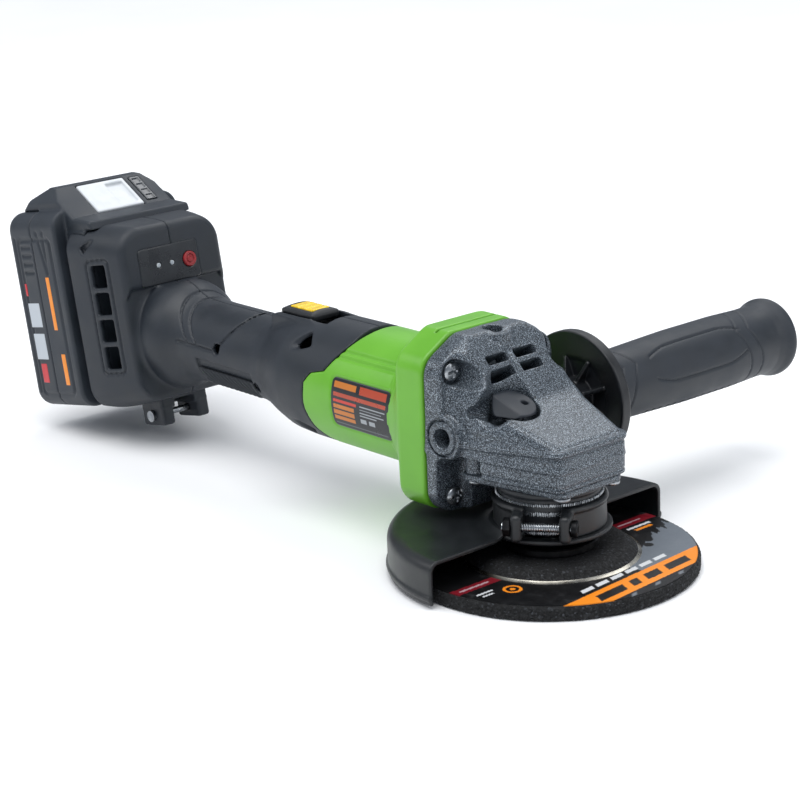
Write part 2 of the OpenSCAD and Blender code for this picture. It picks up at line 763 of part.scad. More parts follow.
module shells() {
  difference() {
    union() {
      difference() {
        union() {
          difference() {
            grip_revolve(0);
            seam_mask(-0.3);
          }
          foot_block(0, -foot_d, 0);
        }
        grip_revolve(wall);
        foot_block(wall, dock_floor + wall, -wall);
      }
      intersection() {
        union() {
          grip_revolve(wall - 0.4);
          foot_block(wall, dock_floor + 1, -1);
        }
        shell_posts(3.6, 40);
      }
      // plug that the link screws seat on
      on_motor_axis(housing_x - 5) ring(barrel_r - wall - 0.6, 5 - play, 9);
    }
    // link screws: shank, and head room from behind
    for (p = link_spots)
      on_motor_axis(housing_x - 20, p[1], p[0]) cylinder(r = link_screw_r + play, h = 30);
    for (i = [0 : 3])
      on_motor_axis(housing_x - 6) rotate([0, 0, i * 90]) translate([link_screw_at * 0.92, 0, 0])
        cylinder(r = 3, h = 8);
    shell_posts(1.5 + play, 60);
    // dock for the pack's raised stage
    in_foot() {
      block([-foot_d - 5, -dock_half_w, dock_bottom], [dock_floor, dock_half_w, 80]);
      block([-foot_d - 5, -60, dock_top], [-foot_d + 23.6, 60, 90]);
      block([dock_floor - 1, -hook_half_w - 1, hook_u - 3.4],
        [dock_floor + wall + 1, hook_half_w + 1, hook_u + hook_h + 0.6]);
      block([dock_floor - 1, -13, -13], [dock_floor + wall + 1, 13, 23]);
      // side air slots
      for (s = [-1, 1])
        for (i = [0 : 3])
          block([-20, s * 40 - 14, -16 + 14 * i], [-12, s * 40 + 14, -5 + 14 * i]);
      // seat of the status panel
      block([-0.9, -panel_half_w - 0.2, panel_low - 0.2], [6, panel_half_w + 0.2, panel_high + 0.2]);
      panel_holes();
    }
    // saddle of the slide switch
    block([switch_x - switch_len / 2 - 3, -switch_half_w - 1, axis_h + switch_flat],
      [switch_x + switch_len / 2 + switch_travel + 3, switch_half_w + 1, axis_h + 60]);
    block([switch_x - 7, -3.4, axis_h + 10], [switch_x + 7 + switch_travel, 3.4, axis_h + 60]);
    // lower side recesses of the grip pads
    pad_rings(grip_r - pad_depth, 3, play);
  }
  // rails that hold the pack
  in_foot() for (s = [-1, 1])
    block([rail_n, min(s * (dock_half_w - rail_w), s * (dock_half_w + 1)), dock_bottom + 1],
      [rail_n + rail_t, max(s * (dock_half_w - rail_w), s * (dock_half_w + 1)), dock_top - 6]);
}

// bands round the lower sides of the grip
module pad_rings(r, t, gap) {
  for (s = [0, 1])
    on_motor_axis(foot_x + pad_x - gap) mirror([0, s, 0]) rotate([0, 0, pad_start_angle - gap])
      rotate_extrude(angle = pad_span + 2 * gap)
        translate([r - gap, 0]) square([t + gap, pad_len + 2 * gap]);
}

module left_shell() {
  color("darkslategray") intersection() {
    shells();
    block([-600, -100, -100], [100, 0, 300]);
  }
}

module right_shell() {
  color("darkslategray") intersection() {
    shells();
    block([-600, 0, -100], [100, 100, 300]);
  }
}

module shell_screws() {
  color("silver") {
    for (i = [0 : 2])
      translate([shell_spots[i][0], -shell_screw_half[i], axis_h + shell_spots[i][1]]) rotate([-90, 0, 0])
        cylinder(r = 1.5, h = shell_screw_half[i] + 8);
    in_foot() for (p = foot_spots)
      translate([p[0], -20, p[1]]) rotate([-90, 0, 0]) cylinder(r = 1.5, h = 30);
  }
}

module link_screws() {
  seat = housing_x - 5;
  color("silver") for (p = link_spots)
    on_motor_axis(seat, p[1], p[0]) {
      cylinder(r = link_screw_r, h = 13);
      translate([0, 0, -2.6]) cylinder(r = link_head_r, h = 2.6);
    }
}

module grip_pads() {
  color("black") difference() {
    pad_rings(grip_r - pad_depth, 1.7, 0);
    for (i = [0 : 11])
      on_motor_axis(foot_x + pad_x + 2 + 3.4 * i) ring(grip_r + 4, 1.2, grip_r + 0.2);
  }
}

// ---------- switch and electronics ----------

module switch_knob() {
  top = axis_h + switch_flat + motion_gap;
  crown = barrel_r - switch_flat + 1.2;
  color("black") difference() {
    union() {
      intersection() {
        block([switch_x - switch_len / 2, -switch_half_w, top],
          [switch_x + switch_len / 2, switch_half_w, top + 20]);
        on_motor_axis(switch_x - switch_len / 2) cylinder(r = switch_flat + crown, h = switch_len);
      }
      block([switch_x - 5, -2.6, axis_h + 9.4], [switch_x + 5, 2.6, top + 1]);
    }
    block([switch_x - 8, -5.2, top + crown - 1.9], [switch_x + 8, 5.2, top + 20]);
  }
}

module switch_inlay() {
  top = axis_h + switch_flat + motion_gap + barrel_r - switch_flat + 1.2 - 1.9;
  color("gold") block([switch_x - 7.9, -5.1, top], [switch_x + 7.9, 5.1, top + 1.4]);
}

// microswitch under the knob, on the motor axis
module switch_module() {
  color("dimgray") {
    block([switch_x - 14, -7, axis_h - 12], [switch_x + 14, 7, axis_h + 6]);
    block([switch_x - 10, -2, axis_h + 6], [switch_x + 16, 2, axis_h + 9]);
  }
}

module control_board() {
  color("darkgreen") in_foot() {
    block([-9.6, -22, -14], [-8, 22, 26]);
    for (y = [-14, 0, 14]) block([-13.5, y - 4, 2], [-9.6, y + 4, 16]);
  }
}

module terminal_block() {
  color("dimgray") in_foot() {
    block([dock_floor + wall + 0.1, -12.5, -12.5], [dock_floor + wall + 4, 12.5, 22.5]);
    for (y = terminal_spots) block([dock_floor - 8, y - 0.5, -8], [dock_floor + wall + 0.2, y + 0.5, 16]);
  }
}

// holes for the power button and the lights
module panel_holes() {
  translate([-8, power_y, power_u]) rotate([0, 90, 0]) cylinder(r = power_r + motion_gap / 2, h = 20);
  for (y = lights_y) translate([-8, y, power_u]) rotate([0, 90, 0]) cylinder(r = light_r + play, h = 20);
}

module status_panel() {
  color("black") in_foot() difference() {
    block([-0.8, -panel_half_w, panel_low], [0.1, panel_half_w, panel_high]);
    panel_holes();
  }
}

module status_lights() {
  color("white") in_foot() for (y = lights_y)
    translate([-3, y, power_u]) rotate([0, 90, 0]) cylinder(r = light_r, h = 3.1);
}

module power_button() {
  color("crimson") in_foot() translate([0, power_y, power_u]) rotate([0, 90, 0]) {
    translate([0, 0, -3]) cylinder(r = power_r, h = 3.9);
    translate([0, 0, -4.2]) cylinder(r = 2, h = 1.4);
  }
}

// holder for the pin wrench, under the foot
module wrench_clip() {
  depth = 18;
  gap_half = 7;
  color("black") in_foot() difference() {
    union() {
      block([clip_n - depth, -clip_half_w, clip_low + 8], [clip_n, clip_half_w, foot_bottom - 0.2]);
      block([clip_n - depth, -clip_half_w, clip_low], [clip_n, -gap_half, clip_low + 9]);
      block([clip_n - depth, gap_half, clip_low], [clip_n, clip_half_w, clip_low + 9]);
    }
    translate([clip_hole_n, 20, clip_hole_u]) rotate([90, 0, 0]) cylinder(r = clip_screw_r + play, h = 40);
    block([clip_n + 4 - depth, 1 - gap_half, clip_low + 5], [clip_n + 1, gap_half - 1, clip_low + 12]);
  }
}

module clip_screw() {
  head_r = 2.8;
  head_t = 1.6;
  color("silver") in_foot() translate([clip_hole_n, 0, clip_hole_u]) rotate([90, 0, 0]) {
    translate([0, 0, -clip_half_w]) cylinder(r = clip_screw_r, h = 2 * clip_half_w);
    translate([0, 0, clip_half_w]) cylinder(r = head_r, h = head_t);
  }
}

// ---------- side handle ----------

module on_handle(y) {
  translate([handle_x, y, axis_h]) rotate([-90, 0, 0]) children();
}

module handle_grip() {
  neck_l = 26;
  color("darkslategray") on_handle(disc_y + 3) difference() {
    rotate_extrude() polygon([[0, 0], [handle_r - 2.4, 0], [handle_r - 0.8, 3], [handle_r, neck_l],
      [handle_r + 1, handle_len * 0.45], [handle_r + 0.9, handle_len - 34],
      [handle_r + 0.3, handle_len - 16], [handle_r + 0.8, handle_len - 10],
      [handle_r + 2.6, handle_len - 5], [handle_r + 2.6, handle_len - 2.5],
      [handle_r + 1, handle_len], [0, handle_len]]);
    translate([0, 0, -1]) cylinder(r = stud_r + fit, h = 26);
  }
}

module handle_disc() {
  hub_y = boss_half + 0.3;
  rim_l = 7;
  color("black") on_handle(hub_y) difference() {
    union() {
      cylinder(r = 9, h = disc_y + 3 - hub_y);
      translate([0, 0, disc_y - hub_y]) cylinder(r = disc_r - 1, h = 3);
      difference() {
        translate([0, 0, disc_y - hub_y - rim_l + 3]) cylinder(r = disc_r, h = rim_l - 1);
        translate([0, 0, -1]) cylinder(r = disc_r - 2.4, h = disc_y - hub_y + 1);
      }
      for (i = [0 : 7])
        rotate([0, 0, 22.5 + i * 45])
          block([8, -0.8, disc_y - hub_y - 6], [disc_r - 1.5, 0.8, disc_y - hub_y + 1]);
    }
    translate([0, 0, -1]) cylinder(r = stud_r + fit, h = 60);
  }
}

module handle_stud() {
  start = boss_half - socket_depth + 1;
  color("silver") on_handle(start) cylinder(r = stud_r, h = disc_y + 3 + 24 - start);
}

// ---------- battery pack ----------

module pack_section(n, t, inset) {
  r = 8;
  for (s = [-1, 1])
    for (u = [pack_bottom + r, pack_top - r])
      translate([n, s * (pack_half_w - r), u]) rotate([0, 90, 0])
        cylinder(r = r - inset, h = t, $fn = hull_fn);
}

// rear half of the casing, with crowned edges
module pack_cover() {
  back = pack_n - pack_d;
  color("darkslategray") in_foot() difference() {
    union() {
      hull() {
        pack_section(back, 1, 4);
        pack_section(back + 4, case_split - back - 4, 0);
      }
    }
    hull() pack_section(back + wall, 60, wall);
  }
}

// raised latch block over the tool, as an outline in the foot frame
slope_a = [pack_n - 11, pack_top + 10];
slope_b = [pack_n + 7, pack_top - 4.7];
slope_l = norm(slope_b - slope_a);
slope_dir = (slope_b - slope_a) / slope_l;
slope_out = [-slope_dir[1], slope_dir[0]];
latch_outline = [[pack_n - 38, pack_top + play], [pack_n - 30, pack_top + 6], [pack_n - 16, pack_top + 11],
  slope_a, slope_b, [pack_n + 24, pack_top - 8.2], [pack_n + 26, pack_top - 11],
  [pack_n - 1, pack_top - 11], [case_split, pack_top - 5], [case_split, pack_top + play]];
press_t = 5;
press_half_w = 14;
gauge_y = press_half_w + 3;
gauge_w = 6;

// outline of the button in the slope, or of its pocket
function press_shape(gap, depth, proud) = [slope_a + slope_dir * (0.8 - gap) + slope_out * proud,
  slope_b - slope_dir * (0.8 - gap) + slope_out * proud,
  slope_b - slope_dir * (0.8 - gap) - slope_out * depth,
  slope_a + slope_dir * (0.8 - gap) - slope_out * depth];

module slab_y(y0, y1) {
  rotate([90, 0, 0]) translate([0, 0, -y1]) linear_extrude(height = y1 - y0) children();
}

// strip of the slope, from depth below its face to rise above it
function slope_strip(start, stop, depth, rise) = [slope_a + slope_dir * start - slope_out * depth,
  slope_b - slope_dir * stop - slope_out * depth, slope_b - slope_dir * stop + slope_out * rise,
  slope_a + slope_dir * start + slope_out * rise];

module pack_case() {
  web = pack_n + 2;
  inner = pack_half_w - wall;
  color("darkslategray") in_foot() difference() {
    union() {
      difference() {
        union() {
          hull() pack_section(case_split, pack_n - case_split, 0);
          block([pack_n - 3, -stage_half_w, dock_bottom + 1.5], [stage_n, stage_half_w, dock_top + 1]);
          slab_y(9 - pack_half_w, pack_half_w - 9) polygon(latch_outline);
        }
        hull() pack_section(case_split - 1, pack_n - wall - case_split + 1, wall);
        // bay for the pack's board
        block([pack_n - wall - 1, -23.5, -20], [stage_n - 10.2, 23.5, 38]);
      }
      // tongues that snap into the cover
      for (s = [-1, 1])
        for (u = [pack_bottom + 24, pack_top - 34])
          translate([0, 0, u]) {
            block([case_split, min(s * (inner - 1.3), s * (inner + 1)), 0],
              [case_split + 5, max(s * (inner - 1.3), s * (inner + 1)), 12]);
            block([case_split - 4, min(s * (inner - 1.3), s * (inner - play)), 0],
              [case_split + 1, max(s * (inner - 1.3), s * (inner - play)), 12]);
          }
    }
    // grooves for the rails, open at the bottom
    for (s = [-1, 1])
      block([rail_n - motion_gap, min(s * (dock_half_w - rail_w - motion_gap), s * 60), dock_bottom - 2],
        [rail_n + rail_t + motion_gap, max(s * (dock_half_w - rail_w - motion_gap), s * 60), dock_top - 5]);
    // terminal slots, open at the bottom
    for (y = terminal_spots)
      block([stage_n - 10.3, y - 1.2, dock_bottom - 2], [stage_n + 2, y + 1.2, 18]);
    // pocket of the button, its web and its hook, with room for the press
    slab_y(-press_half_w - 0.3, press_half_w + 0.3)
      polygon(press_shape(0.3, press_t + press_travel + 0.4, 3));
    block([web - 3, -hook_half_w - 0.4, hook_u - 3.4], [web + 3.4, hook_half_w + 0.4, pack_top - 7]);
    block([web - 3, -hook_half_w - 0.4, hook_u - 3.4],
      [stage_n + 1, hook_half_w + 0.4, hook_u + hook_h + 0.4]);
    // bed of the charge gauge
    slab_y(gauge_y - 0.1, gauge_y + gauge_w + 0.1) polygon(slope_strip(1.9, 2.9, 1.6, 3));
  }
}

module battery_cells() {
  color("steelblue") in_foot() for (i = [0 : cell_rows - 1])
    for (k = [-0.5, 0.5])
      translate([cell_n + k * cell_pitch, cell_l / 2, cell_mid_u + (i - 2) * cell_pitch]) rotate([90, 0, 0])
        cylinder(r = cell_d / 2, h = cell_l);
}

module cell_holder() {
  low = cell_mid_u - cell_rows * cell_pitch / 2;
  color("dimgray") in_foot() difference() {
    for (s = [-1, 1])
      block([cell_n - cell_pitch, min(s * 18, s * 26), low],
        [cell_n + cell_pitch, max(s * 18, s * 26), low + cell_rows * cell_pitch]);
    for (i = [0 : cell_rows - 1])
      for (k = [-0.5, 0.5])
        translate([cell_n + k * cell_pitch, 40, cell_mid_u + (i - 2) * cell_pitch]) rotate([90, 0, 0])
          cylinder(r = cell_d / 2 + 0.03, h = 80);
  }
}

module cell_straps() {
  color("silver") in_foot() for (s = [-1, 1])
    for (i = [0 : cell_rows - 1])
      translate([0, 0, cell_mid_u + (i - 2) * cell_pitch])
        block([cell_n - 13, min(s * cell_l / 2, s * (cell_l / 2 + 0.4)), -4],
          [cell_n + 13, max(s * cell_l / 2, s * (cell_l / 2 + 0.4)), 4]);
}

module pack_board() {
  color("darkgreen") in_foot() block([stage_n - 12.4, -22, -18], [stage_n - 10.9, 22, 36]);
}

module pack_terminals() {
  leaf = 0.5;
  color("gold") in_foot() for (y = terminal_spots)
    for (s = [-1, 1])
      block([stage_n - 10.9, y + min(s * 0.6, s * (0.6 + leaf)), -2],
        [stage_n - 3, y + max(s * 0.6, s * (0.6 + leaf)), 10]);
}

module release_button() {
  web = pack_n + 2;
  color("white") in_foot() {
    difference() {
      slab_y(-press_half_w, press_half_w) polygon(press_shape(0, press_t, 0.3));
      // thumb hollow on the far side
      slab_y(0, press_half_w - 2) polygon(slope_strip(3.5, 3.5, 1.2, 2));
    }
    block([web, -hook_half_w, hook_u], [web + 3, hook_half_w, pack_top - 8]);
    block([web, -hook_half_w, hook_u], [dock_floor + 1.5, hook_half_w, hook_u + hook_h]);
  }
}

module release_spring() {
  color("silver") in_foot() translate([pack_n - 0.9, 0, hook_u + 3]) rotate([0, 90, 0])
    cylinder(r = 2, h = 2.8);
}

module gauge_window() {
  color("gray") in_foot() difference() {
    slab_y(gauge_y, gauge_y + gauge_w) polygon(slope_strip(2, 3, 1.5, 0.2));
    for (i = [0 : 3])
      slab_y(gauge_y + 1, gauge_y + gauge_w - 1)
        polygon(slope_strip(3.4 + 4.4 * i, slope_l - 6.6 - 4.4 * i, 0.4, 1));
  }
}

// ---------- the object ----------

gear_case();
bearing_cover();
cover_screws();
case_screws();
spindle();
crown_gear();
spindle_bearing();
spindle_bush();
inner_flange();
grinding_wheel();
wheel_label();
lock_nut();
guard_shell();
clamp_band();
clamp_screw();
lock_button();
lock_spring();
pinion();
rotor_shaft();
rotor_core();
cooling_fan();
fan_baffle();
front_bearing();
rear_bearing();
stator_core();
stator_coils();
motor_housing();
label_plate();
left_shell();
right_shell();
shell_screws();
link_screws();
grip_pads();
switch_knob();
switch_inlay();
switch_module();
control_board();
terminal_block();
status_panel();
status_lights();
power_button();
wrench_clip();
clip_screw();
handle_grip();
handle_disc();
handle_stud();
pack_cover();
pack_case();
battery_cells();
cell_holder();
cell_straps();
pack_board();
pack_terminals();
release_button();
release_spring();
gauge_window();
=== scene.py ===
import json
import math

import bpy
import numpy as np
from mathutils import Matrix, Vector

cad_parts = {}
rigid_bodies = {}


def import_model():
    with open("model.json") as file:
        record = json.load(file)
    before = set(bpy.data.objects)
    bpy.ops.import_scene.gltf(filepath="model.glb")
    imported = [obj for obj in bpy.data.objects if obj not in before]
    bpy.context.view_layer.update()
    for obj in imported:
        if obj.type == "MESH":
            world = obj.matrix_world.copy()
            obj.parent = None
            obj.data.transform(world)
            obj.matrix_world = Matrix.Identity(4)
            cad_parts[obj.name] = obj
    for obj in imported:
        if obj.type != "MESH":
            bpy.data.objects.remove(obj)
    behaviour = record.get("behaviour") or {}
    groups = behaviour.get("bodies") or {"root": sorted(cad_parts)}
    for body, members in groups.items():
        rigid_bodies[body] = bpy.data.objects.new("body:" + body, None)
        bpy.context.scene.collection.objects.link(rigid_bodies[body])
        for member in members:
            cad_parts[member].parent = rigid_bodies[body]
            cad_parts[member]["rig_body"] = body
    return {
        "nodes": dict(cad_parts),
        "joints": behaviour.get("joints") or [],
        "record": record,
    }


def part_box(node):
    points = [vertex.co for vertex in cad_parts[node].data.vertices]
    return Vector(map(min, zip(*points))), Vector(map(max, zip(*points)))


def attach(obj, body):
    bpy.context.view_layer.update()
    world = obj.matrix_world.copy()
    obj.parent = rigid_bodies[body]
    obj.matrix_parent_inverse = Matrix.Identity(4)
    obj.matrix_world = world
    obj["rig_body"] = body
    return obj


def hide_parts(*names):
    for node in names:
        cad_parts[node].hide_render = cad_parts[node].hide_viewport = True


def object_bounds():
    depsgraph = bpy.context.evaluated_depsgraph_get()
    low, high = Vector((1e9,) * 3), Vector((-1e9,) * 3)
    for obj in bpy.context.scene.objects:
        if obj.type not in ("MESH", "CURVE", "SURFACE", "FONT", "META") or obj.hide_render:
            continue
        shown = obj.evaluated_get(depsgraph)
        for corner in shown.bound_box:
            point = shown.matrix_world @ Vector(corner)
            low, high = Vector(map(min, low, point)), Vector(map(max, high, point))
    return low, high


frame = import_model()
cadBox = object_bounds()
mm = 0.001
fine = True
print("frame loaded")


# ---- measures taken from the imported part, in millimetres ----

def corners(node):
    low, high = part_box(node)
    return np.array(low) / mm, np.array(high) / mm


def unit(vector):
    return np.array(vector, float) / np.linalg.norm(vector)


caseLow, caseHigh = corners("gear_case")
housingLow, housingHigh = corners("motor_housing")
axisZ = float(np.mean([corners("rotor_core")[0][2], corners("rotor_core")[1][2]]))
noseX, headX = caseHigh[0], caseLow[0]
flangeBackX = headX - 16
flangeHalf = housingHigh[1]
flangeLow = caseLow[2]
neckRadius = corners("bearing_cover")[1][1] - 0.0
statorRadius = corners("stator_core")[1][1]
barrelRadius = statorRadius + 3.6
lockLow, lockHigh = corners("lock_button")
lockCentre = (lockLow + lockHigh) / 2
handleLow, handleHigh = corners("handle_grip")
handleX = (handleLow[0] + handleHigh[0]) / 2
wheelLow, wheelHigh = corners("grinding_wheel")
wheelRadius = wheelHigh[0]
slideUp = unit(next(j["axis"] for j in frame["joints"] if j["name"] == "battery_slide"))
footUp = slideUp
footOut = np.array([footUp[2], 0, -footUp[0]])
panelCentre = sum(corners("status_panel")) / 2
footOrigin = panelCentre + footOut * 0.35 - footUp * 35.25
footX = footOrigin[0]
gripRadius = 20.0
seamX = housingLow[0] + 13


# ---- solid shapes as distance fields ----

def blend(a, b, k):
    # smooth minimum: the two distances melt into each other over a fillet about k wide
    h = np.clip(0.5 + 0.5 * (b - a) / k, 0, 1)
    return b + (a - b) * h - k * h * (1 - h)


def carve(a, b, k=0.5):
    # a without b, with the edge rounded over k
    return -blend(-a, b, k)


def both(a, b, k=0.5):
    return -blend(-a, -b, k)


def boxShape(p, low, high, soft=0.0):
    # distance to a box: length of the outside part plus the deepest inside part
    q = [np.abs(c - (a + b) / 2) - abs(b - a) / 2 + soft for c, a, b in zip(p, low, high)]
    outside = np.sqrt(sum(np.maximum(c, 0) ** 2 for c in q))
    return outside + np.minimum(np.maximum(np.maximum(q[0], q[1]), q[2]), 0) - soft


def rodShape(p, start, end, radius, soft=0.0, endRadius=None):
    # distance to a round bar between two points, straight or tapering
    start, end = np.array(start, float), np.array(end, float)
    length = np.linalg.norm(end - start)
    along = (end - start) / length
    q = [c - s for c, s in zip(p, start)]
    t = q[0] * along[0] + q[1] * along[1] + q[2] * along[2]
    across = np.sqrt(np.maximum(q[0] ** 2 + q[1] ** 2 + q[2] ** 2 - t ** 2, 0))
    wide = radius if endRadius is None else radius + (endRadius - radius) * np.clip(t / length, 0, 1)
    return slab(across - wide, t, 0, length, soft)


def slab(flat, w, low, high, soft=0.0):
    # a flat outline's distance, kept between two planes
    a, b = flat + soft, np.abs(w - (low + high) / 2) - abs(high - low) / 2 + soft
    return np.sqrt(np.maximum(a, 0) ** 2 + np.maximum(b, 0) ** 2) + np.minimum(np.maximum(a, b), 0) - soft


def outline(u, v, points, soft=0.0):
    # distance to a polygon: nearest edge, with the sign from how often a ray crosses it
    pts = np.array(points, float)
    best = np.full(u.shape, 1e9, np.float32)
    inside = np.zeros(u.shape, bool)
    for a, b in zip(pts, np.roll(pts, -1, 0)):
        e = b - a
        t = np.clip(((u - a[0]) * e[0] + (v - a[1]) * e[1]) / (e @ e), 0, 1)
        best = np.minimum(best, (u - a[0] - t * e[0]) ** 2 + (v - a[1] - t * e[1]) ** 2)
        crosses = (a[1] > v) != (b[1] > v)
        rise = e[1] if abs(e[1]) > 1e-9 else 1e-9
        inside ^= crosses & (u < a[0] + (v - a[1]) * e[0] / rise)
    d = np.sqrt(best)
    return np.where(inside, -d, d) - soft


def inFoot(x, y, z):
    # the same points in the frame of the battery foot: forward, across and up along the slide
    q = (x - footOrigin[0], y, z - footOrigin[2])
    return (q[0] * footOut[0] + q[2] * footOut[2], y, q[0] * footUp[0] + q[2] * footUp[2])


def surfaceNet(field, low, high, step):
    # one point in each grid cell that the surface crosses, at the mean of its edge crossings,
    # and one four-sided face across each grid edge whose two ends have different signs
    axes = [np.arange(a - 2 * step, b + 2.5 * step, step, dtype=np.float32) for a, b in zip(low, high)]
    d = np.asarray(field(*np.meshgrid(*axes, indexing="ij")), np.float32)
    inside = d < 0
    shape = np.array(d.shape) - 1
    offsets = np.array([(i, j, k) for i in (0, 1) for j in (0, 1) for k in (0, 1)])
    total = np.zeros(shape, np.int8)
    for i, j, k in offsets:
        total += inside[i:i + shape[0], j:j + shape[1], k:k + shape[2]]
    cells = np.argwhere((total > 0) & (total < 8))
    values = np.stack([d[tuple((cells + o).T)] for o in offsets], 1)
    summed, count = np.zeros((len(cells), 3)), np.zeros(len(cells))
    pairs = [(m, n) for m in range(8) for n in range(m + 1, 8) if abs(offsets[m] - offsets[n]).sum() == 1]
    for m, n in pairs:
        cut = (values[:, m] < 0) != (values[:, n] < 0)
        t = np.where(cut, values[:, m] / np.where(cut, values[:, m] - values[:, n], 1), 0)
        summed += cut[:, None] * (offsets[m] + t[:, None] * (offsets[n] - offsets[m]))
        count += cut
    points = (cells + summed / count[:, None]) * step + [a[0] for a in axes]
    number = np.full(shape, -1, np.int32)
    number[tuple(cells.T)] = np.arange(len(cells))
    faces = []
    for axis in range(3):
        one, two = (axis + 1) % 3, (axis + 2) % 3
        first = np.take(inside, range(shape[axis]), axis)
        second = np.take(inside, range(1, shape[axis] + 1), axis)
        edges = np.argwhere(first != second)
        edges = edges[(edges[:, one] > 0) & (edges[:, two] > 0)]
        edges = edges[(edges[:, one] < shape[one]) & (edges[:, two] < shape[two])]
        leaving = first[tuple(edges.T)]
        ring = []
        for a, b in ((1, 1), (0, 1), (0, 0), (1, 0)):
            cell = edges.copy()
            cell[:, one] -= a
            cell[:, two] -= b
            ring.append(number[tuple(cell.T)])
        quad = np.stack(ring, 1)
        faces.append(np.where(leaving[:, None], quad, quad[:, ::-1]))
    return points, np.concatenate(faces)


def relax(points, faces, rounds):
    # each point moves towards its neighbours' mean and back again, so ripples go and sizes stay
    ends = np.concatenate([faces[:, [0, 1]], faces[:, [1, 2]], faces[:, [2, 3]], faces[:, [3, 0]]])
    both_ = np.concatenate([ends, ends[:, ::-1]])
    weight = np.bincount(both_[:, 0], minlength=len(points))[:, None]
    for share in [0.5, -0.52] * rounds:
        mean = np.stack([np.bincount(both_[:, 0], points[both_[:, 1], i], len(points)) for i in range(3)], 1)
        points = points + share * (mean / weight - points)
    return points


# ---- turning arrays into pieces ----

def makeMesh(name, points, faces, smoothAngle=None):
    mesh = bpy.data.meshes.new(name)
    points = np.asarray(points, np.float32) * mm
    faces = np.asarray(faces, np.int32)
    sides = faces.shape[1]
    mesh.vertices.add(len(points))
    mesh.vertices.foreach_set("co", points.ravel())
    mesh.loops.add(faces.size)
    mesh.loops.foreach_set("vertex_index", faces.ravel())
    mesh.polygons.add(len(faces))
    mesh.polygons.foreach_set("loop_start", np.arange(len(faces), dtype=np.int32) * sides)
    mesh.polygons.foreach_set("use_smooth", np.ones(len(faces), bool))
    mesh.update(calc_edges=True)
    mesh.validate()
    if smoothAngle:
        mesh.set_sharp_from_angle(angle=math.radians(smoothAngle))
    return mesh


def thin(obj, mostTriangles):
    # collapse edges until the piece has about that many triangles
    triangles = sum(len(f.vertices) - 2 for f in obj.data.polygons)
    if triangles > mostTriangles:
        modifier = obj.modifiers.new("thin", "DECIMATE")
        modifier.ratio = mostTriangles / triangles
        modifier.use_collapse_triangulate = True
        bpy.context.view_layer.update()
        mesh = bpy.data.meshes.new_from_object(obj.evaluated_get(bpy.context.evaluated_depsgraph_get()))
        obj.modifiers.clear()
        obj.data = mesh
        mesh.polygons.foreach_set("use_smooth", np.ones(len(mesh.polygons), bool))


def piece(name, mesh, node, slot=None, standsFor=True):
    # a new piece that rides with a CAD node and takes the finish of that node's slot, unless told another
    obj = bpy.data.objects.new(name, mesh)
    bpy.context.scene.collection.objects.link(obj)
    slot = slot or nodeSlot[node]
    mesh.materials.append(finishes[slotFinish[slot]])
    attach(obj, frame["nodes"][node]["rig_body"])
    if standsFor:
        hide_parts(node)
    return obj


def shaped(name, field, low, high, step, node, rounds=2, most=150000, **more):
    # the field is closed off just inside the searched box, so the surface never ends in an open edge
    step = step if fine else step * 1.7
    edgeLow, edgeHigh = np.array(low) + 1.5 * step, np.array(high) - 1.5 * step

    def closed(x, y, z):
        return np.maximum(field(x, y, z), boxShape((x, y, z), edgeLow, edgeHigh))

    points, faces = surfaceNet(closed, low, high, step)
    obj = piece(name, makeMesh(name, relax(points, faces, rounds), faces), node, **more)
    thin(obj, most)
    print(name, len(obj.data.polygons), "faces")
    return obj


def gridFaces(rows, columns, closeRows=False, closeColumns=True):
    # four-sided faces between neighbouring rows and columns of a grid
    r = np.arange(rows if closeRows else rows - 1)[:, None]
    c = np.arange(columns if closeColumns else columns - 1)[None, :]
    r2, c2 = (r + 1) % rows, (c + 1) % columns
    return np.stack([r * columns + c, r * columns + c2, r2 * columns + c2, r2 * columns + c], -1).reshape(-1, 4)


def lathe(profile, sides, place, wobble=None):
    # profile is (radius, height) turned round the height axis; place turns (x, y, height) into the part's frame
    profile = np.array(profile, float)
    turn = np.arange(sides) * 2 * np.pi / sides
    radius = np.repeat(profile[:, :1], sides, 1)
    height = np.repeat(profile[:, 1:], sides, 1)
    if wobble is not None:
        radius, height = wobble(radius, height, turn[None, :])
    points = place(radius * np.cos(turn), radius * np.sin(turn), height)
    return np.stack(points, -1).reshape(-1, 3), gridFaces(len(profile), sides, closeRows=True)


def onSpindle(x, y, h):
    return x, y, h


def onMotor(x, y, h):
    return h, y, axisZ + x


def onHandle(x, y, h):
    return handleX + x, h, axisZ - y


def tidy(obj, distance=0.01):
    # merge the doubles at poles and seams, then point every face outwards
    import bmesh
    work = bmesh.new()
    work.from_mesh(obj.data)
    bmesh.ops.remove_doubles(work, verts=work.verts, dist=distance * mm)
    bmesh.ops.recalc_face_normals(work, faces=work.faces)
    work.to_mesh(obj.data)
    work.free()
    return obj


def turned(name, profile, node, sides=96, place=onSpindle, wobble=None, angle=35, **more):
    points, faces = lathe(profile, sides, place, wobble)
    obj = tidy(piece(name, makeMesh(name, points, faces), node, **more))
    obj.data.set_sharp_from_angle(angle=math.radians(angle))
    return obj


# ---- finishes ----

def linear(hexColour):
    # sRGB hex to the linear colour that the shader wants
    parts = [int(hexColour[i:i + 2], 16) / 255 for i in (1, 3, 5)]
    return tuple(c / 12.92 if c <= 0.04045 else ((c + 0.055) / 1.055) ** 2.4 for c in parts) + (1.0,)


